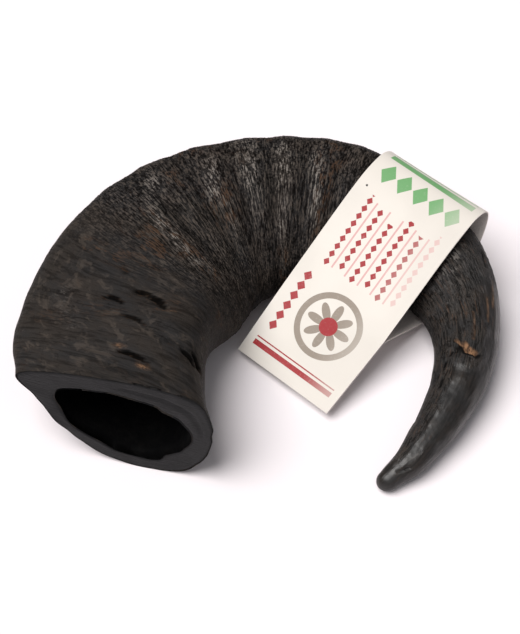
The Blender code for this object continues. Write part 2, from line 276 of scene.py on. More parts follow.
# Noise of the outside: the size of its cells in millimetres, twice across the horn and once along it,
# and its seed.
NOISES = {
    "coarse": ((20, 20, 3.4), 1),
    "strand": ((6, 6, 1.2), 2),
    "thread": ((4, 4, 1.0), 3),
    "grain": ((1.3, 1.3, 26), 4),
    "groove": ((2.6, 2.6, 40), 5),
    "lumps": ((9, 9, 7), 6),
    "folds": ((26, 26, 4.5), 7),
    "pores": ((2.4, 2.4, 1.8), 8),
    "wear": ((14, 14, 12), 9),
    "rust": ((17, 17, 9), 10),
    "clumps": ((8, 8, 5), 11),
    "fray": ((3.5, 3.5, 2.4), 12),
    "wander": ((2, 2, 5), 13),
    "chip_edge": ((2.2, 2.2, 9), 14),
    "tip_lumps": ((4, 4, 5), 15),
    "rim": ((6, 6, 400), 16),
    "breaks": ((11, 11, 6), 17),
    "polish": ((3, 3, 6), 18),
}

# The grain runs at a slant on the base: its slope, and the stations over which it straightens out.
SLANT = 0.29
SLANT_FADES = (0.8, 4.2)

# Materials of the horn: bump distances in metres, specular levels, how much the woody and the
# polished part of the tip brighten the body's colours, and how strongly the black painted shade
# covers them.
SURFACE_BUMP = 0.0010
SAW_BUMP = 0.0004
HOLLOW_BUMP = 0.0008
BODY_SPECULAR = 0.04
CUT_SPECULAR = 0.25
HOLLOW_SPECULAR = 0.05
WOODY_SHADE = 1.12
WOODY_SPECULAR = 0.16
POLISHED_SHADE = 0.66
POLISHED_SPECULAR = 0.40
# The hollow's near-black colours are painted shade of its depth.
HOLLOW_SHADE_COLOURS = ((0.0009, 0.0009, 0.0011), (0.0026, 0.0023, 0.0023))
BLACK_STRENGTH = 0.92

# Raised fibres: how pointed their ends are, what share of their height is under the surface, how far
# they spread, and the least and most of their random sizes (length, width, height).
FIBRE_POINTEDNESS = 3.9
FIBRE_SUNK = 0.35
FIBRE_SPREAD = 0.58
FIBRE_LEAST_SIZE = (0.45, 0.7, 0.5)
FIBRE_MOST_SIZE = (1.7, 1.35, 1.4)
FIBRE_SIZE_SEED = 3
FIBRE_SEED = 7

# The horn's material slots, in the order in which make_horn adds them.
BODY_SLOT = 0
CUT_SLOT = 1
HOLLOW_SLOT = 2
WOODY_SLOT = 3
POLISHED_SLOT = 4

# Label: a strip of card that runs LABEL_HEADING degrees from +X, between its left and right edges.
# Each edge is given by its distance along the strip and its height: first the stuck ends, then the
# join, the front up to the crest, the fold over the horn, and the back under it to the join again.
CARD_THICKNESS = 0.5
LABEL_HEADING = 49.0
LABEL_LEFT = 7.2
LABEL_RIGHT = 59.0
LEFT_EDGE = (
    (-23.0, 4.5), (3.0, 19.3), (29.0, 33.5), (52.0, 45.4), (66.0, 50.8), (77.0, 51.0), (84.4, 43.5),
    (83.6, 32.5), (75.9, 18.6), (62.8, 7.6), (48.0, 2.2), (32.0, 0.6), (19.0, 1.9), (9.3, 9.0),
    (3.0, 19.3),
)
RIGHT_EDGE = (
    (-25.0, 5.0), (13.0, 17.4), (32.0, 26.8), (50.0, 35.6), (64.0, 41.5), (76.0, 44.8), (84.3, 42.0),
    (85.0, 32.5), (79.0, 18.9), (70.0, 7.9), (58.0, 3.0), (47.5, 2.9), (36.0, 6.8), (25.0, 12.0),
    (13.0, 17.4),
)
LABEL_STEPS_PER_POINT = 10
LABEL_TAIL_STEPS = 12
LABEL_LANES = 26
TAIL_SPREAD = 0.52
CARD_SHARP_ANGLE = 40
UV_PER_MM = 0.01

# Print, in millimetres across the card and along it from its front end: spans of boxes, and the
# places, periods, half widths and half lengths of rows of lozenges.
PRINT_ACROSS = (4.0, 48.0)
PETAL_CENTRE = (28.0, 31.0)
PETAL_WAVE = 4.0
PETAL_BASE = 0.45
PETAL_REACH = 7.6
PETAL_RING = (12.6, 15.4)
HEART_RADIUS = 4.2
RED_STRIPES = ((6.0, 8.4), (9.6, 10.2))
LEFT_CHAIN = (7.0, (15.0, 47.0), 5.3, 2.2, 2.5)
RED_ROWS = (10.0, 17.0, 24.0, 31.0, 38.0)
RED_ROW_SPAN = (52.0, 90.0)
RED_ROW_STAGGER = (2.2, 3.3)
RED_ROW_LOZENGES = (4.1, 1.5, 1.9)
PINK_LINES = (3.1, 3.9)
PINK_LINE_SPAN = (53.0, 88.0)
PINK_CHAIN = (45.0, (54.0, 92.0), 4.1, 1.4, 1.9)
GREEN_STRIPES = ((110.0, 113.5), (115.0, 115.8))
GREEN_FIRST = 9.0
GREEN_STEP = 8.6
GREEN_COUNT = 5
GREEN_LOZENGES = ((96.0, 108.0), 12.0, 3.9, 5.4)
SPECK_AT = (4.6, 92.0)
SPECK_RADIUS = 0.5
SPECK_COLOUR = (0.02, 0.02, 0.02)
PINK_COLOUR = (0.60, 0.34, 0.33)
# Painted glare: the inks thin from full to 0.55 of their strength between 30 and 50 mm across.
INK_GLARE_FADES = (30.0, 50.0, 1.0, 0.55)
CARD_SPECULAR = 0.15
CARD_BUMP = 0.0004
PULP_BUMP = 0.0001

# Camera and light: places in metres, the lens and its sensor in millimetres, and angles in degrees.
# A light's azimuth is counted from +X, anticlockwise as seen from above.
CAMERA_TARGET = (-0.00144, 0.01265, 0.0005)
CAMERA_LENS = 107.7
CAMERA_SENSOR = 36.0
FLOOR_HALF = 3.0
Light = namedtuple("Light", "angle azimuth elevation colour")
KEY_LIGHT = Light(44, 203, 65, (1.0, 0.985, 0.97))
FILL_LIGHT = Light(60, 220, 45, (1.0, 0.98, 0.97))
FRONT_LIGHT = Light(60, -75, 48, (0.97, 0.98, 1.0))
FRONT_SHARE = 1.3
SKY_COLOUR = (0.97, 0.97, 1.0, 1.0)


def spline(a, b, c, d, f):
    """Catmull-Rom value at fraction f between b and c."""
    return 0.5 * (2 * b + (c - a) * f + (2 * a - 5 * b + 4 * c - d) * f ** 2
                  + (3 * b - a - 3 * c + d) * f ** 3)


def read_open(rows, places):
    """Read a smooth curve through rows of numbers at an array of places counted in rows."""
    rows = np.array(rows, dtype=float)
    rows = np.vstack((2 * rows[0] - rows[1], rows, 2 * rows[-1] - rows[-2]))
    places = np.asarray(places, dtype=float)
    index = np.clip(np.floor(places).astype(int), 0, len(rows) - 4)
    f = (places - index)[:, None]
    return spline(rows[index], rows[index + 1], rows[index + 2], rows[index + 3], f)


def read_closed(points, count):
    """Sample a smooth closed outline through the points."""
    rows = np.array(points, dtype=float)
    places = np.arange(count) * len(rows) / count
    index = places.astype(int)
    corners = [rows[(index + j) % len(rows)] for j in (-1, 0, 1, 2)]
    return spline(*corners, (places - index)[:, None])


def ramp(value, start, end):
    """Smooth step from 0 at start to 1 at end."""
    f = np.clip((value - start) / (end - start), 0.0, 1.0)
    return f * f * (3 - 2 * f)


def band(value, start, full, fade, end):
    """0 up to start, 1 from full to fade, and 0 from end on."""
    return ramp(value, start, full) * (1 - ramp(value, fade, end))


def bell(value, width):
    """1 at 0, and fading to both sides over the width."""
    return np.exp(-(value / width) ** 2)


def noise_at(points, cell, seed):
    """Smooth random values from -1 to 1 at an array of points, for cells of the given size.

    The large numbers only scramble the cell's place and the seed."""
    spots = points / np.array(cell, dtype=float) + 97.0
    corner_cell = np.floor(spots).astype(np.int64)
    f = spots - corner_cell
    f = f * f * (3 - 2 * f)
    total = 0.0
    for corner in product((0, 1), repeat=3):
        weight = np.prod(np.where(np.array(corner, dtype=bool), f, 1 - f), axis=-1)
        x, y, z = np.moveaxis(corner_cell + np.array(corner), -1, 0)
        key = (x * 73856093) ^ (y * 19349663) ^ (z * 83492791) ^ (seed * 2654435)
        key = ((key ^ (key >> 13)) * 1274126177) & 0xFFFFFFFF
        key = ((key ^ (key >> 16)) * 668265263) & 0xFFFFFFFF
        total = total + weight * (key / 0xFFFFFFFF)
    return total * 2 - 1


def path_distance(mark, place, turn, girth):
    """Distances from a mark's path in millimetres, negative on its base side.

    Turns are in degrees, and girth is the length of a degree round the horn at each place."""
    nearest = np.full(np.broadcast(place, turn).shape, 1000.0)
    for (station_a, turn_a), (station_b, turn_b) in zip(mark.path, mark.path[1:]):
        px, py = (place - station_a) * STATION_GAP, (turn - turn_a) * girth
        bx, by = (station_b - station_a) * STATION_GAP, (turn_b - turn_a) * girth
        along = np.clip((px * bx + py * by) / (bx * bx + by * by), 0.0, 1.0)
        away = np.hypot(px - along * bx, py - along * by)
        signed = np.where(px < along * bx, -away, away)
        nearest = np.where(away < np.abs(nearest), signed, nearest)
    return nearest


def soft_marks(marks, place, turn, girth):
    """The strengths of soft marks, added up: each fades to both sides of its path."""
    return sum(mark.depth * bell(path_distance(mark, place, turn, girth), mark.width)
               for mark in marks)


def end_taper(mark, place, turn, girth):
    """1 along a mark's path and 0 at its two ends."""
    ends = [np.hypot((place - station) * STATION_GAP, (turn - degrees) * girth)
            for station, degrees in (mark.path[0], mark.path[-1])]
    return ramp(np.minimum(*ends), *TAPER)


def lipped_cut(mark, place, turn, girth):
    """The depth of a cut: a slot under a sharp lip on the tip's side, and a slope to the base."""
    away = path_distance(mark, place, turn, girth)
    slope = (1 - SLOT_SHARE) * bell(away, mark.width) + SLOT_SHARE * bell(away, SLOT_WIDTH)
    taper = TAPER_LEAST + (1 - TAPER_LEAST) * end_taper(mark, place, turn, girth)
    return mark.depth * np.where(away < 0, slope, bell(away, LIP_SHARPNESS)) * taper


def lip_shade(mark, place, turn, girth):
    """How strongly a cut is painted black as shade: full in its slot and up its lip's wall."""
    away = path_distance(mark, place, turn, girth)
    shallow, deep = BLACK_DEPTHS
    strength = np.clip((mark.depth - shallow) / (deep - shallow), BLACK_LEAST, 1.0)
    taper = end_taper(mark, place, turn, girth)
    fade, end = (least + more * taper for least, more in zip(BLACK_FADES_OUT, BLACK_WIDENS))
    return strength * band(away, *BLACK_FADES_IN, fade, end) * ramp(taper, *BLACK_TAPER)


def main_relief(place, turn, girth):
    """Height of the horn's main forms over its smooth section, in millimetres, and the ridges'
    crests from -1 to 1. The turn is in radians."""
    ridged = band(place, *RIDGES_FADE_IN, *RIDGES_FADE_OUT)
    ridged = ridged * (RIDGE_AT_EDGES + (1 - RIDGE_AT_EDGES) * np.abs(np.sin(turn)))
    wander = RIDGE_WANDER_ALONG * np.sin(RIDGE_WANDER_RATE * place)
    wander = wander + RIDGE_WANDER_ROUND * np.sin(turn + RIDGE_WANDER_START)
    crest = np.cos(2 * np.pi * RIDGES_PER_STATION * place + wander)
    height = RIDGE_HEIGHT * ridged * crest

    swell = np.sin(2 * turn + SWELL_TWIST * place) * np.sin(SWELL_RATE * place)
    height = height + SWELL_HEIGHT * swell * (1 - ramp(place, *SWELL_FADES_OUT))

    flare = RIM_FLARE_LEAST + (1 - RIM_FLARE_LEAST) * np.maximum(0.0, -np.cos(turn))
    rim = bell(place, RIM_FLARE_LENGTH) - RIM_DIP
    height = height + RIM_FLARE * flare * rim * (1 - ramp(place, *RIM_DIP_FADES_OUT))

    inner = np.maximum(0.0, np.cos(turn - radians(INNER_FILL_TURN))) ** INNER_FILL_NARROWNESS
    height = height + INNER_FILL * inner * bell(place - INNER_FILL_AT, INNER_FILL_LENGTH)
    height = height - soft_marks(DENTS, place, np.degrees(turn), girth)
    return height, crest * ridged


def degree_length(stations):
    """The length of a degree round the horn at its stations, in millimetres."""
    return (stations[:, WIDTH] + stations[:, THICKNESS])[:, None] / 4 * np.pi / 180


def section_axes(stations):
    """Unit vectors of the sections: across to the outer edge, and up."""
    heading = np.radians(stations[:, HEADING])
    roll = np.radians(stations[:, ROLL])[:, None]
    level = np.stack((-np.sin(heading), np.cos(heading), np.zeros(len(heading))), axis=1)
    up = np.array((0.0, 0.0, 1.0))
    return level * np.cos(roll) + up * np.sin(roll), up * np.cos(roll) - level * np.sin(roll)


def place_outline(stations, outline):
    """Arms from the sections' centres to an outline given in half widths."""
    side, up = section_axes(stations)
    across = outline[..., 0:1] * stations[:, WIDTH, None, None] / 2
    rise = outline[..., 1:2] * stations[:, THICKNESS, None, None] / 2
    return side[:, None, :] * across + up[:, None, :] * rise


def saw_normal():
    """The direction that the sawn face looks in."""
    side, up = section_axes(read_open(STATIONS, [0.0]))
    return np.cross(up[0], side[0])


def saw_slant(places, turn):
    """Shifts in millimetres by which the base's lower left reaches out past a straight cut."""
    below = -np.degrees(turn)
    reach = SAW_REACH * band(below, *SAW_REACH_TURNS) * bell(places[:, None], SAW_REACH_LENGTH)
    return reach[..., None] * saw_normal()


def outer_arms(places):
    """The horn's smooth outside at places along it: centres, arms and turns (radians)."""
    stations = read_open(STATIONS, places)
    base = read_closed(BASE_SECTION, SIDES)
    turn = np.arctan2(base[:, 1], base[:, 0])
    oval = np.stack((np.cos(turn), np.sin(turn)), axis=1)
    roundness = np.clip(stations[:, ROUNDNESS, None, None], 0.0, 1.0)
    outline = base + (oval - base) * roundness
    arms = place_outline(stations, outline)
    return stations[:, None, CENTRE], arms, np.arctan2(outline[..., 1], outline[..., 0])


def lengths_along(places):
    """How far along the horn's middle line the places are, in millimetres."""
    fine = np.linspace(0, LAST_STATION, 1200)
    middle = read_open(STATIONS, fine)[:, CENTRE]
    steps = np.linalg.norm(np.diff(middle, axis=0), axis=1)
    return np.interp(places, fine, np.concatenate(((0.0,), np.cumsum(steps))))


def frame_shift():
    """How far the stations' origin is from the frame's, in millimetres, from the solid's box."""
    places = np.linspace(0, LAST_STATION, LAST_STATION * 9 + 1)
    centre, arms, turn = outer_arms(places)
    girth = degree_length(read_open(STATIONS, places))
    height, _ = main_relief(places[:, None], turn, girth)
    points = centre + arms * (1 + height / np.linalg.norm(arms, axis=2))[..., None]
    low = points.reshape(-1, 3).min(axis=0)
    high = points.reshape(-1, 3).max(axis=0)
    box_low, box_high = (np.array(corner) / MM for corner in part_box("horn"))
    return np.array((box_low[0] - low[0], box_high[1] - high[1], box_low[2] - low[2]))


def new_material(name, roughness, colour):
    """A Principled material with its node tree ready to fill."""
    material = bpy.data.materials.new(name)
    material.use_nodes = True
    shader = material.node_tree.nodes["Principled BSDF"]
    shader.inputs["Base Color"].default_value = (*colour, 1.0)
    shader.inputs["Roughness"].default_value = roughness
    return material


class Sheet:
    """Adds nodes to a material and links them, so that a pattern reads as a sum."""

    def __init__(self, material):
        self.tree = material.node_tree
        self.shader = self.tree.nodes["Principled BSDF"]

    def add(self, kind, **settings):
        """A new node with some of its settings."""
        node = self.tree.nodes.new(kind)
        for name, value in settings.items():
            setattr(node, name, value)
        return node

    def feed(self, socket, value):
        """Link a socket, or set it to a number, a vector or a colour."""
        if isinstance(value, bpy.types.NodeSocket):
            self.tree.links.new(value, socket)
        else:
            socket.default_value = value

    def math(self, operation, *values):
        """A number worked out from one, two or three others."""
        node = self.add("ShaderNodeMath", operation=operation)
        for socket, value in zip(node.inputs, values):
            self.feed(socket, value)
        return node.outputs[0]

    def times(self, first, second):
        """The product of two numbers."""
        return self.math("MULTIPLY", first, second)

    def plus(self, first, second):
        """The sum of two numbers."""
        return self.math("ADD", first, second)

    def attribute(self, name, output):
        """One output of a vertex attribute."""
        node = self.add("ShaderNodeAttribute", attribute_name=name)
        return node.outputs[output]

    def split(self, vector):
        """The three numbers of a vector."""
        node = self.add("ShaderNodeSeparateXYZ")
        self.feed(node.inputs[0], vector)
        return node.outputs

    def stretch(self, vector, scale):
        """A vector scaled by another, number by number."""
        node = self.add("ShaderNodeVectorMath", operation="MULTIPLY")
        self.feed(node.inputs[0], vector)
        self.feed(node.inputs[1], scale)
        return node.outputs[0]

    def noise(self, vector, scale=1.0, detail=2.0, roughness=0.5, distortion=0.0):
        """Smooth noise from 0 to 1."""
        node = self.add("ShaderNodeTexNoise")
        self.feed(node.inputs["Vector"], vector)
        self.feed(node.inputs["Scale"], scale)
        self.feed(node.inputs["Detail"], detail)
        self.feed(node.inputs["Roughness"], roughness)
        self.feed(node.inputs["Distortion"], distortion)
        return node.outputs["Fac"]

    def between(self, value, start, end, low=0.0, high=1.0):
        """A smooth step of a value: low at start, high at end."""
        node = self.add("ShaderNodeMapRange", interpolation_type="SMOOTHSTEP")
        for socket, number in zip(node.inputs, (value, start, end, low, high)):
            self.feed(socket, number)
        return node.outputs[0]

    def blend(self, fraction, first, second):
        """Two colours mixed, each a socket or three numbers."""
        node = self.add("ShaderNodeMix", data_type="RGBA")
        self.feed(node.inputs["Factor"], fraction)
        for name, colour in (("A", first), ("B", second)):
            linked = isinstance(colour, bpy.types.NodeSocket)
            self.feed(node.inputs[name], colour if linked else (*colour, 1.0))
        return node.outputs["Result"]

    def bump(self, height, distance, strength):
        """A bumped normal from a height."""
        node = self.add("ShaderNodeBump")
        self.feed(node.inputs["Height"], height)
        self.feed(node.inputs["Distance"], distance)
        self.feed(node.inputs["Strength"], strength)
        return node.outputs["Normal"]

    def finish(self, colour, normal, roughness=None, specular=None):
        """Feed the shader. Without a roughness or a specular level it keeps the one it has."""
        self.feed(self.shader.inputs["Base Color"], colour)
        self.feed(self.shader.inputs["Normal"], normal)
        if roughness is not None:
            self.feed(self.shader.inputs["Roughness"], roughness)
        if specular is not None:
            self.feed(self.shader.inputs["Specular IOR Level"], specular)


class HornSettings(bpy.types.PropertyGroup):
    """Colours and fibre sizes of the horn."""

    # Dark is painted shade in the gaps between fibres, in creases and pits and along the sawn face's
    # outer edge, and the tip's dark seams.
    dark: bpy.props.FloatVectorProperty(
        name="Dark", description="Troughs between the fibres", subtype="COLOR",
        default=(0.0040, 0.0031, 0.0026), min=0, max=1)
    # Black is painted shade in the cuts' slots, the pits, the ridges' troughs and under the chip's
    # edge.
    black: bpy.props.FloatVectorProperty(
        name="Black", description="Bottoms of gouges and pits", subtype="COLOR",
        default=(0.0005, 0.0004, 0.0004), min=0, max=1)
    body: bpy.props.FloatVectorProperty(
        name="Body", description="Main colour of the horn", subtype="COLOR",
        default=(0.0288, 0.0242, 0.0213), min=0, max=1)
    # Thread is also painted on the fibres' tops partly as highlight, and at the hollow's mouth partly
    # as glints.
    thread: bpy.props.FloatVectorProperty(
        name="Thread", description="Raised fibres between the ridges", subtype="COLOR",
        default=(0.098, 0.079, 0.065), min=0, max=1)
    # Fibre is painted on rubbed ridges and the tip's hatching, partly as painted highlight and
    # glints.
    fibre: bpy.props.FloatVectorProperty(
        name="Fibre", description="Rubbed fibres on the ridges", subtype="COLOR",
        default=(0.210, 0.190, 0.172), min=0, max=1)
    rust: bpy.props.FloatVectorProperty(
        name="Rust", description="Brown flecks among the fibres", subtype="COLOR",
        default=(0.075, 0.041, 0.024), min=0, max=1)
    tan: bpy.props.FloatVectorProperty(
        name="Tan", description="Fresh horn in the chip near the tip", subtype="COLOR",
        default=(0.255, 0.140, 0.076), min=0, max=1)
    slate: bpy.props.FloatVectorProperty(
        name="Slate", description="Blue-grey tint of the smooth parts", subtype="COLOR",
        default=(0.0235, 0.0220, 0.0217), min=0, max=1)
    cut: bpy.props.FloatVectorProperty(
        name="Cut", description="Sawn face of the base", subtype="COLOR",
        default=(0.0088, 0.0083, 0.0095), min=0, max=1)
    fibre_length: bpy.props.FloatProperty(
        name="Fibre Length", description="Length of a raised fibre", default=0.0034, unit="LENGTH")
    fibre_width: bpy.props.FloatProperty(
        name="Fibre Width", description="Width of a raised fibre", default=0.00060, unit="LENGTH")
    fibre_height: bpy.props.FloatProperty(
        name="Fibre Height", description="Height of a raised fibre", default=0.00022, unit="LENGTH")
    fibre_density: bpy.props.FloatProperty(
        name="Fibre Density", description="Raised fibres to a square metre", default=230000.0)


class LabelSettings(bpy.types.PropertyGroup):
    """Colours of the card and its print."""

    card: bpy.props.FloatVectorProperty(
        name="Card", description="Cream outside of the card", subtype="COLOR",
        default=(0.69, 0.645, 0.59), min=0, max=1)
    # Back is pale card, lifted above the outside's cream as painted light that reaches the folded
    # inside.
    back: bpy.props.FloatVectorProperty(
        name="Back", description="Inside of the card", subtype="COLOR",
        default=(0.85, 0.775, 0.735), min=0, max=1)
    crimson: bpy.props.FloatVectorProperty(
        name="Crimson", description="Red ink", subtype="COLOR",
        default=(0.30, 0.006, 0.012), min=0, max=1)
    taupe: bpy.props.FloatVectorProperty(
        name="Taupe", description="Grey-brown ink", subtype="COLOR",
        default=(0.25, 0.205, 0.165), min=0, max=1)
    green: bpy.props.FloatVectorProperty(
        name="Green", description="Green ink", subtype="COLOR",
        default=(0.150, 0.350, 0.145), min=0, max=1)


class StageSettings(bpy.types.PropertyGroup):
    """Camera angle, floor and lights."""

    elevation: bpy.props.FloatProperty(
        name="Elevation", description="Camera's angle above the floor",
        default=radians(50), subtype="ANGLE")
    distance: bpy.props.FloatProperty(
        name="Distance", description="Camera's distance from the middle of the horn",
        default=0.700, unit="LENGTH")
    floor: bpy.props.FloatVectorProperty(
        name="Floor", description="Pale floor", subtype="COLOR",
        default=(0.85, 0.80, 0.822), min=0, max=1)
    sky: bpy.props.FloatProperty(
        name="Sky", description="Strength of the even light from all sides", default=0.14)
    key: bpy.props.FloatProperty(
        name="Key", description="Strength of the soft light from the upper left", default=3.6)
    fill: bpy.props.FloatProperty(
        name="Fill", description="Strength of the weak lights from left and front", default=0.25)


Zones = namedtuple("Zones", "leathery shaggy woody smooth polish")


def surface_zones(place, degrees, noise):
    """How much of each kind of surface there is, from 0 to 1."""
    woody = ramp(place, *WOODY_FADES_IN) * (1 - WOODY_LOSS * ramp(place, *WOODY_THINS))
    top = ramp(place, *POLISH_FADES_IN) * band(degrees, *POLISH_TURNS)
    flank = FLANK_POLISH * ramp(place, *FLANK_FADES_IN) * band(degrees, *FLANK_TURNS)
    polish = np.maximum(top, flank)
    polish = polish + (0.35 * noise["polish"] - 0.05) * ramp(polish, 0.05, 0.4)
    polish = np.clip(np.maximum(polish, ramp(place, *END_POLISH)), 0, 1)
    return Zones(1 - ramp(place, *LEATHERY_FADES_OUT), band(place, *SHAGGY), woody,
                 ramp(place, *SMOOTH_FADES_IN), polish)


Damage = namedtuple("Damage", "cuts black pitted chip undercut splinter")


def surface_damage(place, degrees, girth, noise):
    """Depths of the cuts and pits in millimetres, and from 0 to 1 where the painted black shade of
    the cuts, the tan chip, the painted shade under its edge and its splinter are."""
    frayed = degrees + FRAY * noise["fray"]
    wandering = place + CUT_WANDER * noise["wander"]
    cuts = sum(lipped_cut(mark, wandering, frayed, girth) for mark in CUTS)
    black = sum(lip_shade(mark, place, frayed, girth) for mark in CUTS)
    ragged = place + CHIP_WANDER * noise["chip_edge"]
    pitted = soft_marks(PITS, ragged, frayed, girth)
    away = path_distance(CHIP, ragged, degrees, girth)
    chip = 1 - ramp(np.abs(away), *(share * CHIP.width for share in CHIP_EDGE))
    start, full = (share * CHIP.width for share in UNDERCUT_FADES_IN)
    undercut = band(away, start, full, *UNDERCUT_FADES_OUT)
    away = path_distance(SPLINTER, ragged, degrees, girth)
    splinter = 1 - ramp(np.abs(away), SPLINTER_EDGE, SPLINTER.width)
    return Damage(cuts, black, pitted, chip, undercut, splinter)


def fine_relief(place, zones, damage, noise):
    """Height of the fibres, grain, lumps and damage over the horn's main forms, in millimetres."""
    strand = 0.6 - 2 * np.abs(noise["strand"])
    thread = 0.6 - 2 * np.abs(noise["thread"])
    folds = 0.5 - 2 * np.abs(noise["folds"])
    pores = np.maximum(0, noise["pores"] - 0.45)
    lumps = noise["lumps"]

    shaggy = zones.shaggy * (0.75 + 0.5 * noise["clumps"])
    height = shaggy * (0.16 * noise["coarse"] + 0.20 * strand + 0.16 * thread)
    unpolished = 1 - 0.8 * zones.polish
    height = height + zones.woody * unpolished * (0.16 * noise["grain"] + 0.26 * noise["groove"])
    height = height + zones.leathery * (0.10 * folds + 0.10 * lumps + 0.04 * thread - 0.30 * pores)
    height = height + zones.smooth * (0.20 * lumps + 0.10 * noise["tip_lumps"])
    height = height - zones.smooth * (0.5 - 0.35 * zones.polish) * pores

    chip = CHIP.depth * damage.chip * (1 + 0.25 * noise["grain"])
    height = height - damage.cuts - damage.pitted - chip - SPLINTER.depth * damage.splinter
    return height + RIM_CHATTER * bell(place, RIM_CHATTER_LENGTH) * noise["rim"]


def painted_marks(place, turn, girth, crest, damage, noise):
    """What the materials paint on the outside, from 0 to 1: rubbed wear with painted highlight,
    painted shade, tan and rust.
    """
    degrees = np.degrees(turn)
    patches = np.clip(soft_marks(RUBBED_AND_HIGHLIGHT_PATCHES, place, degrees, girth), 0, 1)
    # Crests of the growth ridges on the upper side are painted lighter: painted highlight where the
    # light falls, partly rubbed wear.
    upper = ramp(np.sin(turn), -0.2, 0.5)
    worn = np.clip(crest, 0, 1) * upper * ramp(noise["wear"], -0.1, 0.6)
    broken = 0.35 + 0.65 * ramp(noise["breaks"], -0.45, 0.45)
    rubbed_and_highlight = np.clip((0.95 * patches + 0.34 * worn) * broken, 0, 1)

    # The dark mark is painted shade: in the troughs between the growth ridges, in the cuts' slots and
    # pits, and under the chip's edge.
    trough_shade = 0.35 * np.clip(-crest, 0, 1)
    dark = damage.black + ramp(damage.pitted, 0.4, 0.8) + damage.undercut + trough_shade
    streaks = np.clip(soft_marks(TAN_STREAKS, place, degrees, girth), 0, 1)
    tan = ramp(damage.chip, 0.3, 0.6) * (1 - damage.undercut) + 0.8 * damage.splinter + streaks
    rust = ramp(noise["rust"], 0.0, 0.7) * (0.25 + 0.75 * ramp(place, 0.8, 2.2))
    rust = rust + ramp(damage.pitted, 0.1, 0.3) + 0.7 * ramp(damage.cuts, 0.1, 0.4)
    return np.stack((rubbed_and_highlight, np.clip(dark, 0, 1), np.clip(tan, 0, 1), np.clip(rust, 0, 1)), axis=2)


Outside = namedtuple("Outside", "points straight marks shag polish tip_ring")


def horn_outside():
    """The rings of the horn's outside from the rim to the tip's last one, with what they carry: the
    horn's straightened form, painted marks, fibres, polish, and the ring where the tip starts."""
    places = np.interp(np.linspace(0, 1, OUTER_RINGS), RING_SHARES, RING_STATIONS)
    centre, arms, turn = outer_arms(places)
    girth = degree_length(read_open(STATIONS, places))
    place = places[:, None]
    degrees = np.degrees(turn)
    radius = np.linalg.norm(arms, axis=2)
    along = np.broadcast_to(lengths_along(places)[:, None], radius.shape)
    slant = SLANT * (1 - ramp(place, *SLANT_FADES)) * radius * np.cos(turn)
    straight = np.stack((radius * np.cos(turn), radius * np.sin(turn), along - slant), axis=2)

    noise = {name: noise_at(straight, cell, seed) for name, (cell, seed) in NOISES.items()}
    zones = surface_zones(place, degrees, noise)
    damage = surface_damage(place, degrees, girth, noise)
    height, crest = main_relief(place, turn, girth)
    height = height + fine_relief(place, zones, damage, noise)
    marks = painted_marks(place, turn, girth, crest, damage, noise)
    points = centre + arms * (1 + height / radius)[..., None] + saw_slant(places, turn)
    shag = zones.shaggy * (1 - ramp(place, TIP_STATION, TIP_STATION + FIBRES_END))
    shag = np.broadcast_to(shag, radius.shape)
    tip_ring = int(np.searchsorted(places, TIP_STATION))
    return Outside(points, straight, marks, shag, zones.polish, tip_ring)


def tip_cap(last_ring, end_points):
    """Shrinking rings and a last point that round off the tip."""
    middle, before = end_points
    onward = (middle - before) / np.linalg.norm(middle - before)
    reach = STATIONS[-1].width / 2
    rings = []
    for angle in TIP_CAP_ANGLES:
        shift = onward * reach * sin(radians(angle))
        rings.append(middle + (last_ring - middle) * cos(radians(angle)) + shift)
    return np.array(rings), middle + onward * reach


def bore_rings():
    """Rings of the hollow's wall from its mouth inwards, and its blind end."""
    places = np.linspace(0, BORE_DEPTH, BORE_RINGS + 1)[:-1]
    stations = read_open(STATIONS, places)
    outline = np.broadcast_to(read_closed(BORE_SECTION, SIDES), (BORE_RINGS, SIDES, 2))
    taper = (1 - (places / BORE_DEPTH) ** BORE_BLUNTNESS)[:, None, None]
    arms = place_outline(stations, outline) * taper
    along = np.broadcast_to(places[:, None, None] * STATION_GAP, arms[..., :1].shape)
    spots = np.concatenate((arms[..., 0:2], along), axis=2)
    lumps = BORE_LUMPS * noise_at(spots, *BORE_NOISE)
    inner_side = ramp(-outline[..., 0], 0.1, 0.7) * bell(along[..., 0], MOUTH_LUMPS_LENGTH)
    lumps = lumps + MOUTH_LUMPS * inner_side * noise_at(spots, *MOUTH_NOISE)
    arms = arms * (1 + lumps)[..., None]
    end = read_open(STATIONS, [BORE_DEPTH])[0, CENTRE]
    turn = np.arctan2(outline[..., 1], outline[..., 0])
    return stations[:, None, CENTRE] + arms + saw_slant(places, turn), end


def cut_rings(rim, mouth, turn):
    """Rings of the sawn face between the rim and the mouth of the hollow, with worn edges, and how
    far across the wall each is, from 0 to 1."""
    split = band(np.degrees(turn), *SPLIT_TURNS)
    fractions = 0.5 - 0.5 * np.cos(np.pi * np.arange(1, CUT_RINGS) / CUT_RINGS)
    rings = []
    for f in fractions:
        ring = rim + (mouth - rim) * f
        sunk = SAW_RIPPLE * noise_at(ring, *SAW_NOISE) * np.sin(np.pi * f)
        sunk = sunk + OUTER_WEAR * bell(f, OUTER_WEAR_WIDTH)
        sunk = sunk + INNER_WEAR * bell(1 - f, INNER_WEAR_WIDTH)
        away = f - SPLIT_AT + SPLIT_WANDER * noise_at(ring, *SPLIT_NOISE)
        sunk = sunk + SPLIT_DEPTH * split * bell(away, SPLIT_WIDTH)
        rings.append(ring - saw_normal() * sunk[:, None])
    return np.array(rings), fractions


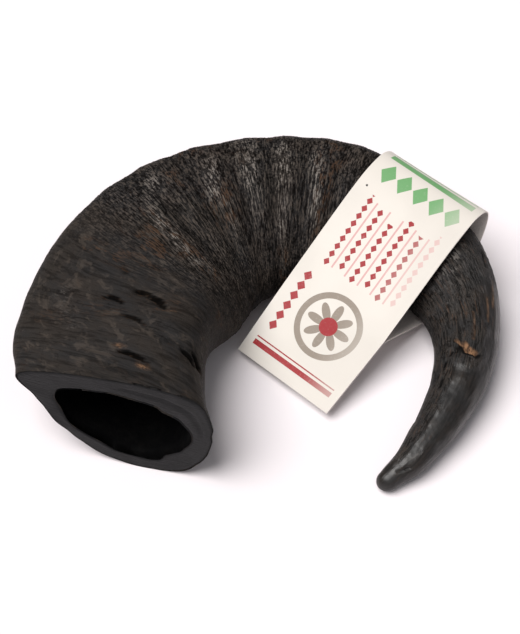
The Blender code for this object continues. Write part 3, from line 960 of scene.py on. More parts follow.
def grid_mesh(name, rings, first_pole, last_pole):
    """A closed mesh over rings of as many points, with a pole at each end."""
    count, sides = rings.shape[0], rings.shape[1]
    points = np.vstack((rings.reshape(-1, 3), first_pole, last_pole)) * MM
    ring, side = np.meshgrid(np.arange(count - 1), np.arange(sides), indexing="ij")
    after = (side + 1) % sides
    quads = np.stack((ring * sides + after, (ring + 1) * sides + after,
                      (ring + 1) * sides + side, ring * sides + side), axis=-1)
    faces = quads.reshape(-1, 4).tolist()
    first, last = count * sides, count * sides + 1
    end = (count - 1) * sides
    faces += [(first, (k + 1) % sides, k) for k in range(sides)]
    faces += [(last, end + k, end + (k + 1) % sides) for k in range(sides)]
    mesh = bpy.data.meshes.new(name)
    mesh.from_pydata(points.tolist(), [], faces)
    mesh.shade_smooth()
    return mesh


def face_outwards(mesh):
    """Turn the mesh's faces to point outwards."""
    work = bmesh.new()
    work.from_mesh(mesh)
    bmesh.ops.recalc_face_normals(work, faces=work.faces)
    work.to_mesh(mesh)
    work.free()


def set_attribute(mesh, name, kind, values):
    """Store numbers for the mesh's vertices under a name."""
    layer = mesh.attributes.new(name, kind, "POINT")
    field = {"FLOAT": "value", "FLOAT_VECTOR": "vector", "FLOAT_COLOR": "color"}[kind]
    layer.data.foreach_set(field, np.ascontiguousarray(values, dtype=np.float32).ravel())


def ring_directions(rings):
    """Unit vectors that run round each ring."""
    around = np.roll(rings, -1, axis=1) - np.roll(rings, 1, axis=1)
    return around / (np.linalg.norm(around, axis=2, keepdims=True) + 1e-9)


def read_marks(sheet):
    """The horn's painted marks: rubbed wear with painted highlight, painted shade, tan and rust."""
    marks = sheet.add("ShaderNodeAttribute", attribute_name="marks")
    parts = sheet.add("ShaderNodeSeparateColor")
    sheet.feed(parts.inputs[0], marks.outputs["Color"])
    return (*parts.outputs[0:3], marks.outputs["Alpha"])


def body_material(settings):
    """Fibrous dark horn: rubbed fibres with painted highlight on the ridges, painted shade in its
    gaps and creases, brown flecks, and leathery skin at the base.
    """
    material = new_material("horn_fibrous", 0.5, settings.body)
    sheet = Sheet(material)
    straight = sheet.attribute("straight", "Vector")
    along = sheet.split(straight)[2]
    rubbed_and_highlight, dark, tan, rust = read_marks(sheet)
    shaggy = sheet.between(along, 50, 92)

    strands = sheet.noise(sheet.stretch(straight, (0.24, 0.24, 1.20)), 1.0, 2.0, 0.6, 0.3)
    threads = sheet.noise(sheet.stretch(straight, (0.45, 0.45, 2.1)), 1.0, 1.0, 0.5, 0.2)
    grit = sheet.noise(straight, 1.15, 1.0, 0.6)
    specks = sheet.noise(sheet.stretch(straight, (0.22, 0.22, 0.4)), 1.0, 2.0, 0.6)
    wrinkles = sheet.noise(sheet.stretch(straight, (0.09, 0.09, 0.55)), 1.0, 4.0, 0.6, 0.3)
    blotch = sheet.noise(straight, 0.07, 4.0, 0.6)
    pits = sheet.noise(straight, 0.45, 3.0, 0.6)
    scuffs = sheet.noise(straight, 0.16, 5.0, 0.65, 0.6)

    weave = sheet.plus(sheet.times(strands, 0.45), sheet.times(threads, 0.30))
    weave = sheet.plus(weave, sheet.times(grit, 0.25))
    raised = sheet.plus(weave, sheet.times(rubbed_and_highlight, 0.035))
    base = sheet.blend(sheet.between(blotch, 0.36, 0.64), settings.body, settings.slate)

    # Painted shade in the gaps between the fibres, and the fibres' tops painted lighter, partly as
    # painted highlight.
    fibrous = sheet.blend(sheet.between(raised, 0.42, 0.52), settings.dark, base)
    crests = sheet.times(sheet.between(raised, 0.51, 0.59), 0.6)
    fibrous = sheet.blend(crests, fibrous, settings.thread)

    # Painted shade in the skin's creases and pits.
    leather = sheet.blend(sheet.between(wrinkles, 0.36, 0.54, 0.45, 1.0), settings.dark, base)
    leather = sheet.blend(sheet.between(pits, 0.30, 0.42, 0.35, 0.0), leather, settings.dark)
    scuffed = sheet.times(sheet.between(scuffs, 0.52, 0.66), 0.32)
    leather = sheet.blend(scuffed, leather, settings.thread)

    colour = sheet.blend(shaggy, leather, fibrous)
    ochre = sheet.times(sheet.between(specks, 0.46, 0.60), sheet.between(threads, 0.42, 0.58))
    colour = sheet.blend(sheet.times(sheet.times(ochre, rust), 0.8), colour, settings.rust)
    # Rubbed ridges painted pale, partly as painted highlight.
    highlight_and_rub = sheet.times(rubbed_and_highlight, sheet.between(weave, 0.51, 0.59))
    colour = sheet.blend(highlight_and_rub, colour, settings.fibre)
    fresh = sheet.blend(sheet.between(grit, 0.35, 0.6), settings.rust, settings.tan)
    colour = sheet.blend(tan, colour, fresh)
    # The dark marks' painted shade in cuts, pits, ridge troughs and under the chip's edge.
    colour = sheet.blend(sheet.times(dark, BLACK_STRENGTH), colour, settings.black)

    rough = sheet.between(threads, 0.3, 0.7, 0.40, 0.60)
    rough = sheet.plus(rough, sheet.times(rubbed_and_highlight, -0.08))
    rough = sheet.plus(rough, sheet.times(dark, 0.5))

    fibres = sheet.times(weave, sheet.between(shaggy, 0, 1, 0.15, 1.0))
    skin = sheet.plus(sheet.times(wrinkles, 0.45), sheet.times(pits, 0.30))
    height = sheet.plus(fibres, sheet.times(skin, sheet.between(shaggy, 0, 1, 1.0, 0.2)))
    sheet.finish(colour, sheet.bump(height, SURFACE_BUMP, 1.0), rough, BODY_SPECULAR)
    return material


def tip_material(settings, name, shade, specular):
    """The horn past the label: hatched with painted glints at first, then smooth, lumpy and polished.
    """
    material = new_material(name, 0.3, settings.body)
    sheet = Sheet(material)
    straight = sheet.attribute("straight", "Vector")
    rubbed_and_highlight, dark, tan, rust = read_marks(sheet)
    gloss = sheet.attribute("polish", "Fac")

    def by_gloss(plain, polished):
        """A number that goes from one value to another as the polish grows."""
        return sheet.between(gloss, 0, 1, plain, polished)

    lengthwise = sheet.noise(sheet.stretch(straight, (1.5, 1.5, 0.07)), 1.0, 4.0, 0.6, 0.25)
    hatching = sheet.noise(sheet.stretch(straight, (1.35, 1.35, 0.26)), 1.0, 2.0, 0.6, 0.4)
    grit = sheet.noise(straight, 1.5, 1.0, 0.6)
    lumps = sheet.noise(straight, 0.15, 2.0, 0.5)
    pits = sheet.noise(sheet.stretch(straight, (0.6, 0.6, 0.35)), 1.0, 3.0, 0.6)

    slate = [shade * channel for channel in settings.slate]
    body = [shade * channel for channel in settings.body]
    colour = sheet.blend(sheet.between(lumps, 0.35, 0.65), slate, body)
    # Painted shade in the pits, less where the horn is polished.
    pit_shade = sheet.times(sheet.between(pits, 0.44, 0.36), by_gloss(0.9, 0.2))
    colour = sheet.blend(pit_shade, colour, settings.dark)
    seams = sheet.times(sheet.between(lengthwise, 0.49, 0.41), by_gloss(0.9, 0.5))
    colour = sheet.blend(seams, colour, settings.dark)
    veins = sheet.times(sheet.between(lengthwise, 0.55, 0.66), by_gloss(0.7, 0.2))
    veins = sheet.times(veins, sheet.between(rust, 0.0, 0.6, 0.45, 1.0))
    colour = sheet.blend(veins, colour, settings.rust)
    # Painted glints on the hatched horn near the label, where it is also rubbed.
    highlight_and_rub = sheet.times(rubbed_and_highlight, sheet.between(hatching, 0.54, 0.60))
    colour = sheet.blend(highlight_and_rub, colour, settings.fibre)
    fresh = sheet.blend(sheet.between(pits, 0.38, 0.60), settings.rust, settings.tan)
    colour = sheet.blend(tan, colour, fresh)
    # The dark marks' painted shade in cuts, pits and under the chip's edge.
    colour = sheet.blend(sheet.times(dark, BLACK_STRENGTH), colour, settings.black)

    rough = sheet.plus(by_gloss(0.46, 0.37), sheet.between(lumps, 0.35, 0.65, 0.08, -0.04))
    rough = sheet.plus(rough, sheet.times(tan, 0.25))
    rough = sheet.plus(rough, sheet.times(dark, 0.5))

    height = sheet.times(sheet.plus(hatching, sheet.times(grit, 0.4)), by_gloss(0.8, 0.02))
    height = sheet.plus(height, sheet.times(lengthwise, by_gloss(0.9, 0.06)))
    height = sheet.plus(height, sheet.times(lumps, 0.7))
    height = sheet.plus(height, sheet.times(pits, by_gloss(0.9, 0.12)))
    sheet.finish(colour, sheet.bump(height, SURFACE_BUMP, 0.9), rough, specular)
    return material


def cut_material(settings):
    """Sawn horn: matte blue-black with faint layers, fine scratches, painted shadow along its outer
    edge and pale tissue with painted glints at the mouth of the hollow.
    """
    material = new_material("horn_sawn_face", 0.62, settings.cut)
    sheet = Sheet(material)
    place = sheet.add("ShaderNodeTexCoord").outputs["Object"]
    blotch = sheet.noise(place, 120.0, 4.0, 0.6)
    scratch = sheet.noise(sheet.stretch(place, (160.0, 160.0, 1500.0)), 1.0, 3.0, 0.6)
    layer = sheet.attribute("layer", "Fac")
    wave = sheet.plus(sheet.times(layer, 34.0), sheet.times(blotch, 9.0))
    seams = sheet.between(sheet.math("SINE", wave), 0.7, 1.0)
    tissue_and_glint = sheet.times(sheet.between(layer, 0.93, 1.0), sheet.between(blotch, 0.45, 0.60))
    outer_edge_shade = sheet.between(layer, 0.05, 0.0)
    dull = [0.55 * channel for channel in settings.cut]
    deep = [0.35 * channel for channel in settings.cut]
    colour = sheet.blend(sheet.between(blotch, 0.35, 0.65), settings.cut, dull)
    colour = sheet.blend(sheet.times(seams, 0.7), colour, deep)
    # Painted shadow along the face's outer edge.
    colour = sheet.blend(sheet.times(outer_edge_shade, 0.7), colour, settings.dark)
    # Pale tissue at the mouth of the hollow, painted lighter partly as glints.
    colour = sheet.blend(sheet.times(tissue_and_glint, 0.3), colour, settings.thread)
    height = sheet.plus(scratch, sheet.times(blotch, 1.2))
    sheet.finish(colour, sheet.bump(height, SAW_BUMP, 0.7), specular=CUT_SPECULAR)
    return material


def hollow_material():
    """The hollow's wall: painted nearly black as its shade, dry and rough."""
    material = new_material("horn_hollow", 0.8, HOLLOW_SHADE_COLOURS[1])
    sheet = Sheet(material)
    place = sheet.add("ShaderNodeTexCoord").outputs["Object"]
    lumps = sheet.noise(place, 220.0, 4.0, 0.6)
    colour = sheet.blend(sheet.between(lumps, 0.4, 0.75), *HOLLOW_SHADE_COLOURS)
    sheet.finish(colour, sheet.bump(lumps, HOLLOW_BUMP, 0.7), specular=HOLLOW_SPECULAR)
    return material


def horn_mesh():
    """The whole horn as one closed mesh with its attributes: hollow, sawn face, outside and tip."""
    outside = horn_outside()
    bore, blind_end = bore_rings()
    rim = outside.straight[0]
    face_turn = np.arctan2(rim[:, 1], rim[:, 0])
    cut, fractions = cut_rings(outside.points[0], bore[0], face_turn)
    ends = read_open(STATIONS, [LAST_STATION, LAST_STATION - TIP_DIRECTION_REACH])[:, CENTRE]
    cap, tip = tip_cap(outside.points[-1], ends)
    shift = frame_shift()
    rings = np.concatenate((bore[::-1], cut[::-1], outside.points, cap)) + shift
    mesh = grid_mesh("horn_body", rings, blind_end + shift, tip + shift)

    inner = len(bore) + len(cut)
    outer = len(outside.points)

    def whole(before, values, after):
        """Values of the outside's rings, with those of the inner rings before and the cap's after."""
        shape = values.shape[1:]
        return np.concatenate((np.broadcast_to(before, (inner, *shape)), values,
                               np.broadcast_to(after, (len(cap), *shape))))

    straight = outside.straight
    polish = whole(0.0, outside.polish, 1.0)
    layer = np.zeros((len(rings), SIDES))
    layer[:len(bore)] = 1.0
    layer[len(bore):inner] = fractions[::-1, None]
    attributes = (
        ("straight", "FLOAT_VECTOR", whole(straight[0], straight, straight[-1])),
        ("marks", "FLOAT_COLOR", whole(0.0, outside.marks, outside.marks[-1])),
        ("shag", "FLOAT", whole(0.0, outside.shag, 0.0)),
        ("polish", "FLOAT", polish),
        ("layer", "FLOAT", layer),
        ("around", "FLOAT_VECTOR", ring_directions(rings)),
    )
    for name, kind, values in attributes:
        flat = values.reshape(len(rings) * SIDES, -1)
        set_attribute(mesh, name, kind, np.vstack((flat, flat[:1], flat[-1:])))

    slots = np.full((len(rings) - 1, SIDES), BODY_SLOT)
    slots[:len(bore) - 1] = HOLLOW_SLOT
    slots[len(bore) - 1:inner] = CUT_SLOT
    tip_part = np.arange(len(rings) - 1) >= inner + outside.tip_ring
    polished = polish[:-1] > 0.5
    slots[tip_part[:, None] & ~polished] = WOODY_SLOT
    slots[tip_part[:, None] & polished] = POLISHED_SLOT
    poles = (np.full(SIDES, HOLLOW_SLOT), np.full(SIDES, POLISHED_SLOT))
    slots = np.concatenate((slots.ravel(), *poles))
    mesh.polygons.foreach_set("material_index", slots.astype(np.int32))
    face_outwards(mesh)
    return mesh


def make_horn(settings):
    """The horn's object, with a material for each of its kinds of surface."""
    mesh = horn_mesh()
    for material in (body_material(settings), cut_material(settings), hollow_material(),
                     tip_material(settings, "horn_woody", WOODY_SHADE, WOODY_SPECULAR),
                     tip_material(settings, "horn_polished", POLISHED_SHADE, POLISHED_SPECULAR)):
        mesh.materials.append(material)
    horn = bpy.data.objects.new("horn_body", mesh)
    bpy.context.scene.collection.objects.link(horn)
    return horn


class Tree:
    """Adds geometry nodes to a node group and links them."""

    def __init__(self, name, inputs):
        self.group = bpy.data.node_groups.new(name, "GeometryNodeTree")
        self.group.interface.new_socket("Geometry", in_out="INPUT", socket_type="NodeSocketGeometry")
        self.identifiers = {}
        for label, kind in inputs:
            socket = self.group.interface.new_socket(label, in_out="INPUT", socket_type=kind)
            self.identifiers[label] = socket.identifier
        self.group.interface.new_socket("Geometry", in_out="OUTPUT", socket_type="NodeSocketGeometry")
        self.source = self.group.nodes.new("NodeGroupInput").outputs
        self.result = self.group.nodes.new("NodeGroupOutput").inputs

    def add(self, kind, inputs=None, **settings):
        """A new node with settings and inputs, the latter by name or by number."""
        node = self.group.nodes.new(kind)
        for name, value in settings.items():
            setattr(node, name, value)
        for key, value in (inputs or {}).items():
            self.feed(node.inputs[key], value)
        return node

    def feed(self, socket, value):
        """Link a socket, or set its value."""
        if isinstance(value, bpy.types.NodeSocket):
            self.group.links.new(value, socket)
        else:
            socket.default_value = value

    def math(self, operation, first, second):
        """A number worked out from two others."""
        return self.add("ShaderNodeMath", {0: first, 1: second}, operation=operation).outputs[0]

    def times(self, first, second):
        """The product of two numbers."""
        return self.math("MULTIPLY", first, second)

    def named(self, name, kind):
        """A named attribute of the geometry."""
        return self.add("GeometryNodeInputNamedAttribute", {"Name": name}, data_type=kind).outputs[0]

    def on_surface(self, surface, value, kind):
        """A value of the nearest spot of a surface."""
        inputs = {"Mesh": surface, "Value": value}
        return self.add("GeometryNodeSampleNearestSurface", inputs, data_type=kind).outputs["Value"]

    def store(self, geometry, name, value, kind):
        """The geometry with a named attribute stored on it."""
        inputs = {"Geometry": geometry, "Name": name, "Value": value}
        return self.add("GeometryNodeStoreNamedAttribute", inputs, data_type=kind).outputs[0]


def fibre_tree():
    """A node group that lays raised fibres round the horn's surface.

    Each fibre is a sliver of three sides. It is laid flat at its place, then every point of it moves
    to the nearest spot of the surface and up from there by its own lift."""
    tree = Tree("raised_fibres", (
        ("Density", "NodeSocketFloat"), ("Length", "NodeSocketFloat"), ("Width", "NodeSocketFloat"),
        ("Height", "NodeSocketFloat"), ("Seed", "NodeSocketInt"), ("Material", "NodeSocketMaterial")))
    source = tree.source
    surface = source["Geometry"]

    sliver = tree.add("GeometryNodeMeshCylinder", {
        "Vertices": 3, "Side Segments": 4, "Radius": 1.0, "Depth": 1.0}, fill_type="NGON")
    position = tree.add("GeometryNodeInputPosition").outputs[0]
    corner = tree.add("ShaderNodeSeparateXYZ", {0: position}).outputs
    squared = tree.times(corner[2], corner[2])
    profile = tree.math("SUBTRACT", 1.0, tree.times(squared, FIBRE_POINTEDNESS))
    on_top = tree.math("GREATER_THAN", corner[0], 0.0)
    lift = tree.times(tree.times(on_top, profile), source["Height"])
    lift = tree.math("SUBTRACT", lift, tree.times(source["Height"], FIBRE_SUNK))
    spread = tree.times(tree.times(corner[1], profile), source["Width"])
    spread = tree.times(spread, FIBRE_SPREAD)
    flat = tree.add("ShaderNodeCombineXYZ", {
        0: tree.times(corner[2], source["Length"]), 1: spread, 2: 0.0})
    keep = tree.add("GeometryNodeCaptureAttribute", {
        "Geometry": sliver.outputs["Mesh"]}, domain="POINT")
    keep.capture_items.new("FLOAT", "Lift")
    tree.feed(keep.inputs["Lift"], lift)
    shaped = tree.add("GeometryNodeSetPosition", {
        "Geometry": keep.outputs["Geometry"], "Position": flat.outputs[0]})

    density = tree.times(tree.named("shag", "FLOAT"), source["Density"])
    scatter = tree.add("GeometryNodeDistributePointsOnFaces", {
        "Mesh": surface, "Density": density, "Seed": source["Seed"]}, distribute_method="RANDOM")
    around = tree.named("around", "FLOAT_VECTOR")
    turn = tree.add("FunctionNodeAxesToRotation", {
        "Primary Axis": scatter.outputs["Normal"], "Secondary Axis": around},
        primary_axis="Z", secondary_axis="X")
    size = tree.add("FunctionNodeRandomValue", {
        "Min": FIBRE_LEAST_SIZE, "Max": FIBRE_MOST_SIZE, "Seed": FIBRE_SIZE_SEED},
        data_type="FLOAT_VECTOR")
    placed = tree.add("GeometryNodeInstanceOnPoints", {
        "Points": scatter.outputs["Points"], "Instance": shaped.outputs["Geometry"],
        "Rotation": turn.outputs[0], "Scale": size.outputs["Value"]})
    real = tree.add("GeometryNodeRealizeInstances", {"Geometry": placed.outputs["Instances"]})

    normal = tree.add("GeometryNodeInputNormal").outputs[0]
    spot = tree.on_surface(surface, position, "FLOAT_VECTOR")
    away = tree.on_surface(surface, normal, "FLOAT_VECTOR")
    raised = tree.add("ShaderNodeVectorMath", {0: away}, operation="SCALE")
    tree.feed(raised.inputs["Scale"], keep.outputs["Lift"])
    final = tree.add("ShaderNodeVectorMath", {0: spot, 1: raised.outputs[0]}, operation="ADD")

    straight = tree.on_surface(surface, tree.named("straight", "FLOAT_VECTOR"), "FLOAT_VECTOR")
    marks = tree.on_surface(surface, tree.named("marks", "FLOAT_COLOR"), "FLOAT_COLOR")
    stored = tree.store(real.outputs[0], "straight", straight, "FLOAT_VECTOR")
    stored = tree.store(stored, "marks", marks, "FLOAT_COLOR")
    moved = tree.add("GeometryNodeSetPosition", {"Geometry": stored, "Position": final.outputs[0]})
    finished = tree.add("GeometryNodeSetMaterial", {
        "Geometry": moved.outputs[0], "Material": source["Material"]})
    tree.feed(tree.result[0], finished.outputs[0])
    return tree


def make_fibres(horn, settings):
    """Raised fibres over the horn's curl, as a mesh of their own."""
    tree = fibre_tree()
    fibres = bpy.data.objects.new("horn_fibres", horn.data)
    bpy.context.scene.collection.objects.link(fibres)
    modifier = fibres.modifiers.new("raised_fibres", "NODES")
    modifier.node_group = tree.group
    values = {
        "Density": settings.fibre_density, "Length": settings.fibre_length,
        "Width": settings.fibre_width, "Height": settings.fibre_height, "Seed": FIBRE_SEED,
        "Material": horn.data.materials[BODY_SLOT],
    }
    for label, value in values.items():
        modifier[tree.identifiers[label]] = value
    ready = fibres.evaluated_get(bpy.context.evaluated_depsgraph_get())
    mesh = bpy.data.meshes.new_from_object(ready)
    mesh.name = "horn_fibres"
    fibres.modifiers.clear()
    fibres.data = mesh
    return fibres


def label_path(edge):
    """One edge's path as a strip: middle points and normals of the card from its front end, up the
    front, over the horn, back under it and down to its back end. The two ends lie side by side."""
    loop = np.array(edge[1:])
    steps = (len(loop) - 1) * LABEL_STEPS_PER_POINT
    middle = read_open(loop, np.arange(steps + 1) / LABEL_STEPS_PER_POINT)
    end, join = np.array(edge[0]), loop[0]
    along = (join - end) / np.linalg.norm(join - end)
    lift = np.array((-along[1], along[0])) * CARD_THICKNESS * TAIL_SPREAD
    fractions = np.arange(LABEL_TAIL_STEPS)[:, None] / LABEL_TAIL_STEPS
    tail = end + (join - end) * fractions
    near = np.minimum(np.arange(steps + 1), np.arange(steps + 1)[::-1])
    settle = (1 - ramp(near, 0, LABEL_STEPS_PER_POINT))[:, None]
    half = (np.arange(steps + 1) < steps / 2)[:, None]
    middle = middle + settle * np.where(half, lift, -lift)
    path = np.vstack((tail + lift, middle, (tail - lift)[::-1]))
    slope = np.gradient(path, axis=0)
    slope /= np.linalg.norm(slope, axis=1, keepdims=True)
    return path, np.stack((-slope[:, 1], slope[:, 0]), axis=1)


def label_rings():
    """Points of the card's outer and inner sides in lanes across it, and distances along it."""
    heading = radians(LABEL_HEADING)
    forward = np.array((cos(heading), sin(heading), 0.0))
    right = np.array((sin(heading), -cos(heading), 0.0))
    up = np.array((0.0, 0.0, 1.0))
    left_path, left_normals = label_path(LEFT_EDGE)
    right_path, right_normals = label_path(RIGHT_EDGE)
    outer, inner, lengths = [], [], []
    for f in np.linspace(0, 1, LABEL_LANES + 1):
        path = left_path + (right_path - left_path) * f
        normals = left_normals + (right_normals - left_normals) * f
        across = LABEL_LEFT + (LABEL_RIGHT - LABEL_LEFT) * f
        steps = np.linalg.norm(np.diff(path, axis=0), axis=1)
        lengths.append(np.concatenate(((0.0,), np.cumsum(steps))))
        for offset, side in ((CARD_THICKNESS / 2, outer), (-CARD_THICKNESS / 2, inner)):
            section = path + normals * offset
            side.append(forward * section[:, 0:1] + up * section[:, 1:2] + right * across)
    return np.array(outer), np.array(inner), np.array(lengths)


def make_label(settings):
    """The card: a strip with two faces and thin edges, with its print's map."""
    outer, inner, lengths = label_rings()
    lanes, count = lengths.shape
    points = np.concatenate((outer, inner)).reshape(-1, 3) + frame_shift()
    across = np.linspace(0, LABEL_RIGHT - LABEL_LEFT, lanes)
    faces, slots = [], []

    def corner(side, lane, step):
        return (side * lanes + lane) * count + step

    for lane, step in product(range(lanes - 1), range(count - 1)):
        for side in (0, 1):
            faces.append((corner(side, lane, step), corner(side, lane + 1, step),
                          corner(side, lane + 1, step + 1), corner(side, lane, step + 1)))
            slots.append(side)
    for step in range(count - 1):
        for lane in (0, lanes - 1):
            faces.append((corner(0, lane, step), corner(0, lane, step + 1),
                          corner(1, lane, step + 1), corner(1, lane, step)))
            slots.append(1)
    for lane in range(lanes - 1):
        for step in (0, count - 1):
            faces.append((corner(0, lane, step), corner(0, lane + 1, step),
                          corner(1, lane + 1, step), corner(1, lane, step)))
            slots.append(1)
    mesh = bpy.data.meshes.new("horn_label")
    mesh.from_pydata((points * MM).tolist(), [], faces)
    flat_map = np.stack((np.broadcast_to(across[:, None], lengths.shape), lengths), axis=2)
    flat_map = np.concatenate((flat_map, flat_map)).reshape(-1, 2) * UV_PER_MM
    layer = mesh.uv_layers.new(name="card_map")
    corners = np.array([loop.vertex_index for loop in mesh.loops])
    layer.data.foreach_set("uv", flat_map[corners].astype(np.float32).ravel())
    mesh.materials.append(label_material(settings))
    mesh.materials.append(card_back_material(settings))
    mesh.polygons.foreach_set("material_index", np.array(slots, dtype=np.int32))
    face_outwards(mesh)
    mesh.shade_smooth()
    mesh.set_sharp_from_angle(angle=radians(CARD_SHARP_ANGLE))
    label = bpy.data.objects.new("printed_label", mesh)
    bpy.context.scene.collection.objects.link(label)
    return label


class Print:
    """Masks of simple printed shapes on the card, in millimetres across and along it."""

    def __init__(self, sheet):
        self.sheet = sheet
        node = sheet.add("ShaderNodeUVMap", uv_map="card_map")
        u, v, _ = sheet.split(node.outputs[0])
        self.across = sheet.math("DIVIDE", u, UV_PER_MM)
        self.along = sheet.math("DIVIDE", v, UV_PER_MM)

    def span(self, value, low, high):
        """1 where a value is between two numbers."""
        above = self.sheet.math("GREATER_THAN", value, low)
        return self.sheet.times(above, self.sheet.math("LESS_THAN", value, high))

    def box(self, across, along):
        """A rectangle."""
        return self.sheet.times(self.span(self.across, *across), self.span(self.along, *along))

    def chain(self, across, along, period, half_width, half_length):
        """Lozenges in a row along the card."""
        sheet = self.sheet
        count = sheet.math("DIVIDE", sheet.math("SUBTRACT", self.along, along[0]), period)
        phase = sheet.math("SUBTRACT", sheet.math("FRACT", count), 0.5)
        reach = sheet.times(sheet.math("ABSOLUTE", phase), period)
        reach = sheet.math("DIVIDE", reach, half_length)
        width = sheet.math("ABSOLUTE", sheet.math("SUBTRACT", self.across, across))
        width = sheet.math("DIVIDE", width, half_width)
        inside = sheet.math("LESS_THAN", sheet.plus(reach, width), 1.0)
        return sheet.times(inside, self.span(self.along, *along))

    def polar(self, across, along):
        """Distance from a centre, and the angle round it."""
        sheet = self.sheet
        x = sheet.math("SUBTRACT", self.across, across)
        y = sheet.math("SUBTRACT", self.along, along)
        squares = sheet.plus(sheet.times(x, x), sheet.times(y, y))
        return sheet.math("SQRT", squares), sheet.math("ARCTAN2", y, x)

    def either(self, *masks):
        """Where any of the masks shows."""
        result = masks[0]
        for mask in masks[1:]:
            result = self.sheet.math("MAXIMUM", result, mask)
        return result


def petal_ring(sheet, ink):
    """Masks of the petals with the ring round them, and of their heart."""
    distance, angle = ink.polar(*PETAL_CENTRE)
    petal = sheet.math("ABSOLUTE", sheet.math("COSINE", sheet.times(angle, PETAL_WAVE)))
    petal = sheet.times(sheet.plus(petal, PETAL_BASE), PETAL_REACH)
    petals = sheet.math("LESS_THAN", distance, petal)
    heart = sheet.math("LESS_THAN", distance, HEART_RADIUS)
    return ink.either(petals, ink.span(distance, *PETAL_RING)), heart


def red_masks(ink):
    """Masks of the red stripes and rows of lozenges."""
    masks = [ink.box(PRINT_ACROSS, stripe) for stripe in RED_STRIPES]
    masks.append(ink.chain(*LEFT_CHAIN))
    first, last = RED_ROW_SPAN
    for k, across in enumerate(RED_ROWS):
        span = (first + RED_ROW_STAGGER[0] * (k % 2), last - RED_ROW_STAGGER[1] * (k % 3))
        masks.append(ink.chain(across, span, *RED_ROW_LOZENGES))
    return masks


def label_material(settings):
    """Cream satin card with a plain pattern in four inks, paler towards its right as painted glare.
    """
    material = new_material("label_print", 0.36, settings.card)
    sheet = Sheet(material)
    ink = Print(sheet)

    taupe, heart = petal_ring(sheet, ink)
    crimson = ink.either(heart, *red_masks(ink))
    pink = [ink.box([across + line for line in PINK_LINES], PINK_LINE_SPAN) for across in RED_ROWS]
    pink = ink.either(ink.chain(*PINK_CHAIN), *pink)
    green = [ink.box(PRINT_ACROSS, stripe) for stripe in GREEN_STRIPES]
    green += [ink.chain(GREEN_FIRST + GREEN_STEP * k, *GREEN_LOZENGES) for k in range(GREEN_COUNT)]
    green = ink.either(*green)
    speck = sheet.math("LESS_THAN", ink.polar(*SPECK_AT)[0], SPECK_RADIUS)

    place = sheet.add("ShaderNodeTexCoord").outputs["Object"]
    cloudy = sheet.noise(place, 26.0, 2.0, 0.5)
    worn = sheet.noise(place, 900.0, 3.0, 0.6)
    wavy = sheet.noise(place, 60.0, 2.0, 0.5)
    # Painted glare: the inks pale towards the card's right.
    glare_fade = sheet.between(ink.across, *INK_GLARE_FADES)
    deep = [0.93 * channel for channel in settings.card]
    colour = sheet.blend(sheet.between(cloudy, 0.35, 0.65), settings.card, deep)
    inks = ((taupe, settings.taupe), (pink, PINK_COLOUR), (crimson, settings.crimson),
            (green, settings.green), (speck, SPECK_COLOUR))
    for mask, shade in inks:
        thin = sheet.times(mask, sheet.between(worn, 0.25, 0.45, 0.85, 0.98))
        colour = sheet.blend(sheet.times(thin, glare_fade), colour, shade)
    rough = sheet.between(worn, 0.3, 0.7, 0.33, 0.42)
    sheet.finish(colour, sheet.bump(wavy, CARD_BUMP, 0.25), rough, CARD_SPECULAR)
    return material


def card_back_material(settings):
    """The card's inside and edges: plain and matte, with a fibrous tone, its pale colour partly
    painted light.
    """
    material = new_material("label_back", 0.75, settings.back)
    sheet = Sheet(material)
    place = sheet.add("ShaderNodeTexCoord").outputs["Object"]
    pulp = sheet.noise(place, 1400.0, 3.0, 0.6)
    dull = [0.86 * channel for channel in settings.back]
    colour = sheet.blend(sheet.between(pulp, 0.35, 0.65), settings.back, dull)
    sheet.finish(colour, sheet.bump(pulp, PULP_BUMP, 0.3))
    return material


def make_floor(settings):
    """A wide pale floor under the horn."""
    work = bmesh.new()
    bmesh.ops.create_grid(work, x_segments=1, y_segments=1, size=FLOOR_HALF)
    mesh = bpy.data.meshes.new("floor")
    work.to_mesh(mesh)
    work.free()
    mesh.materials.append(new_material("floor_pale", 0.9, settings.floor))
    floor = bpy.data.objects.new("floor", mesh)
    bpy.context.scene.collection.objects.link(floor)
    return floor


def make_sun(name, strength, light):
    """A broad soft sun that shines from an azimuth and an elevation."""
    lamp = bpy.data.lights.new(name, "SUN")
    lamp.energy = strength
    lamp.angle = radians(light.angle)
    lamp.color = light.colour
    sun = bpy.data.objects.new(name, lamp)
    azimuth = radians(light.azimuth)
    elevation = radians(light.elevation)
    source = Vector((cos(azimuth) * cos(elevation), sin(azimuth) * cos(elevation), sin(elevation)))
    sun.rotation_euler = source.to_track_quat("Z", "Y").to_euler()
    bpy.context.scene.collection.objects.link(sun)


def make_world(strength):
    """Even pale light from all sides."""
    world = bpy.data.worlds.new("studio")
    world.use_nodes = True
    sky = world.node_tree.nodes["Background"]
    sky.inputs["Color"].default_value = SKY_COLOUR
    sky.inputs["Strength"].default_value = strength
    bpy.context.scene.world = world


def make_camera(settings):
    """The camera at the photograph's angle."""
    data = bpy.data.cameras.new("photo_camera")
    data.sensor_fit = "HORIZONTAL"
    data.sensor_width = CAMERA_SENSOR
    data.lens = CAMERA_LENS
    camera = bpy.data.objects.new("photo_camera", data)
    back = Vector((0.0, -cos(settings.elevation), sin(settings.elevation)))
    camera.location = Vector(CAMERA_TARGET) + back * settings.distance
    camera.rotation_euler = back.to_track_quat("Z", "Y").to_euler()
    bpy.context.scene.collection.objects.link(camera)
    bpy.context.scene.camera = camera


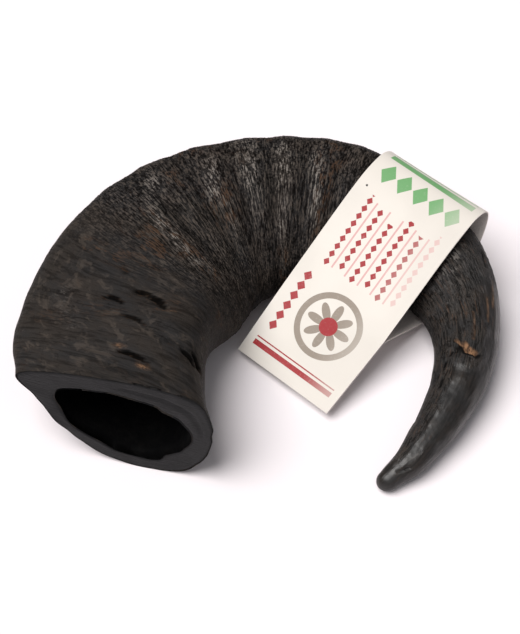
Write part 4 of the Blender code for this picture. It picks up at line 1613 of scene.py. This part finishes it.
class HORNCHEW_OT_horn(bpy.types.Operator):
    """Build the horn with its hollow, its sawn face and its raised fibres"""

    bl_idname = "horn_chew.build_horn"
    bl_label = "Build Horn"

    def execute(self, context):
        settings = context.scene.horn_settings
        horn = make_horn(settings)
        fibres = make_fibres(horn, settings)
        for piece in (horn, fibres):
            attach(piece, BODY)
        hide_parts("horn")
        return {"FINISHED"}


class HORNCHEW_OT_label(bpy.types.Operator):
    """Fold the printed card round the horn"""

    bl_idname = "horn_chew.fold_label"
    bl_label = "Fold Label"

    def execute(self, context):
        label = make_label(context.scene.label_settings)
        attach(label, BODY)
        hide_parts("card_label")
        return {"FINISHED"}


class HORNCHEW_OT_stage(bpy.types.Operator):
    """Set the floor, the lights and the camera"""

    bl_idname = "horn_chew.set_stage"
    bl_label = "Set Stage"

    def execute(self, context):
        settings = context.scene.stage_settings
        make_floor(settings)
        make_world(settings.sky)
        make_sun("key_light", settings.key, KEY_LIGHT)
        make_sun("fill_light", settings.fill, FILL_LIGHT)
        make_sun("front_light", FRONT_SHARE * settings.fill, FRONT_LIGHT)
        make_camera(settings)
        context.scene.view_settings.view_transform = "Standard"
        return {"FINISHED"}


class HORNCHEW_PT_panel(bpy.types.Panel):
    """Lists the pieces that can be built"""

    bl_label = "Horn Chew"
    bl_idname = "HORNCHEW_PT_panel"
    bl_space_type = "VIEW_3D"
    bl_region_type = "UI"
    bl_category = "Horn Chew"

    def draw(self, context):
        for operator in (HORNCHEW_OT_horn, HORNCHEW_OT_label, HORNCHEW_OT_stage):
            self.layout.operator(operator.bl_idname)


CLASSES = (HornSettings, LabelSettings, StageSettings, HORNCHEW_OT_horn, HORNCHEW_OT_label,
           HORNCHEW_OT_stage, HORNCHEW_PT_panel)


def register():
    """Register the classes and their settings."""
    for item in CLASSES:
        bpy.utils.register_class(item)
    bpy.types.Scene.horn_settings = bpy.props.PointerProperty(type=HornSettings)
    bpy.types.Scene.label_settings = bpy.props.PointerProperty(type=LabelSettings)
    bpy.types.Scene.stage_settings = bpy.props.PointerProperty(type=StageSettings)


def unregister():
    """Take the classes and their settings away."""
    del bpy.types.Scene.stage_settings
    del bpy.types.Scene.label_settings
    del bpy.types.Scene.horn_settings
    for item in reversed(CLASSES):
        bpy.utils.unregister_class(item)


def main():
    """Build every piece."""
    register()
    bpy.ops.horn_chew.set_stage()
    bpy.ops.horn_chew.build_horn()
    bpy.ops.horn_chew.fold_label()


if __name__ == "__main__":
    main()
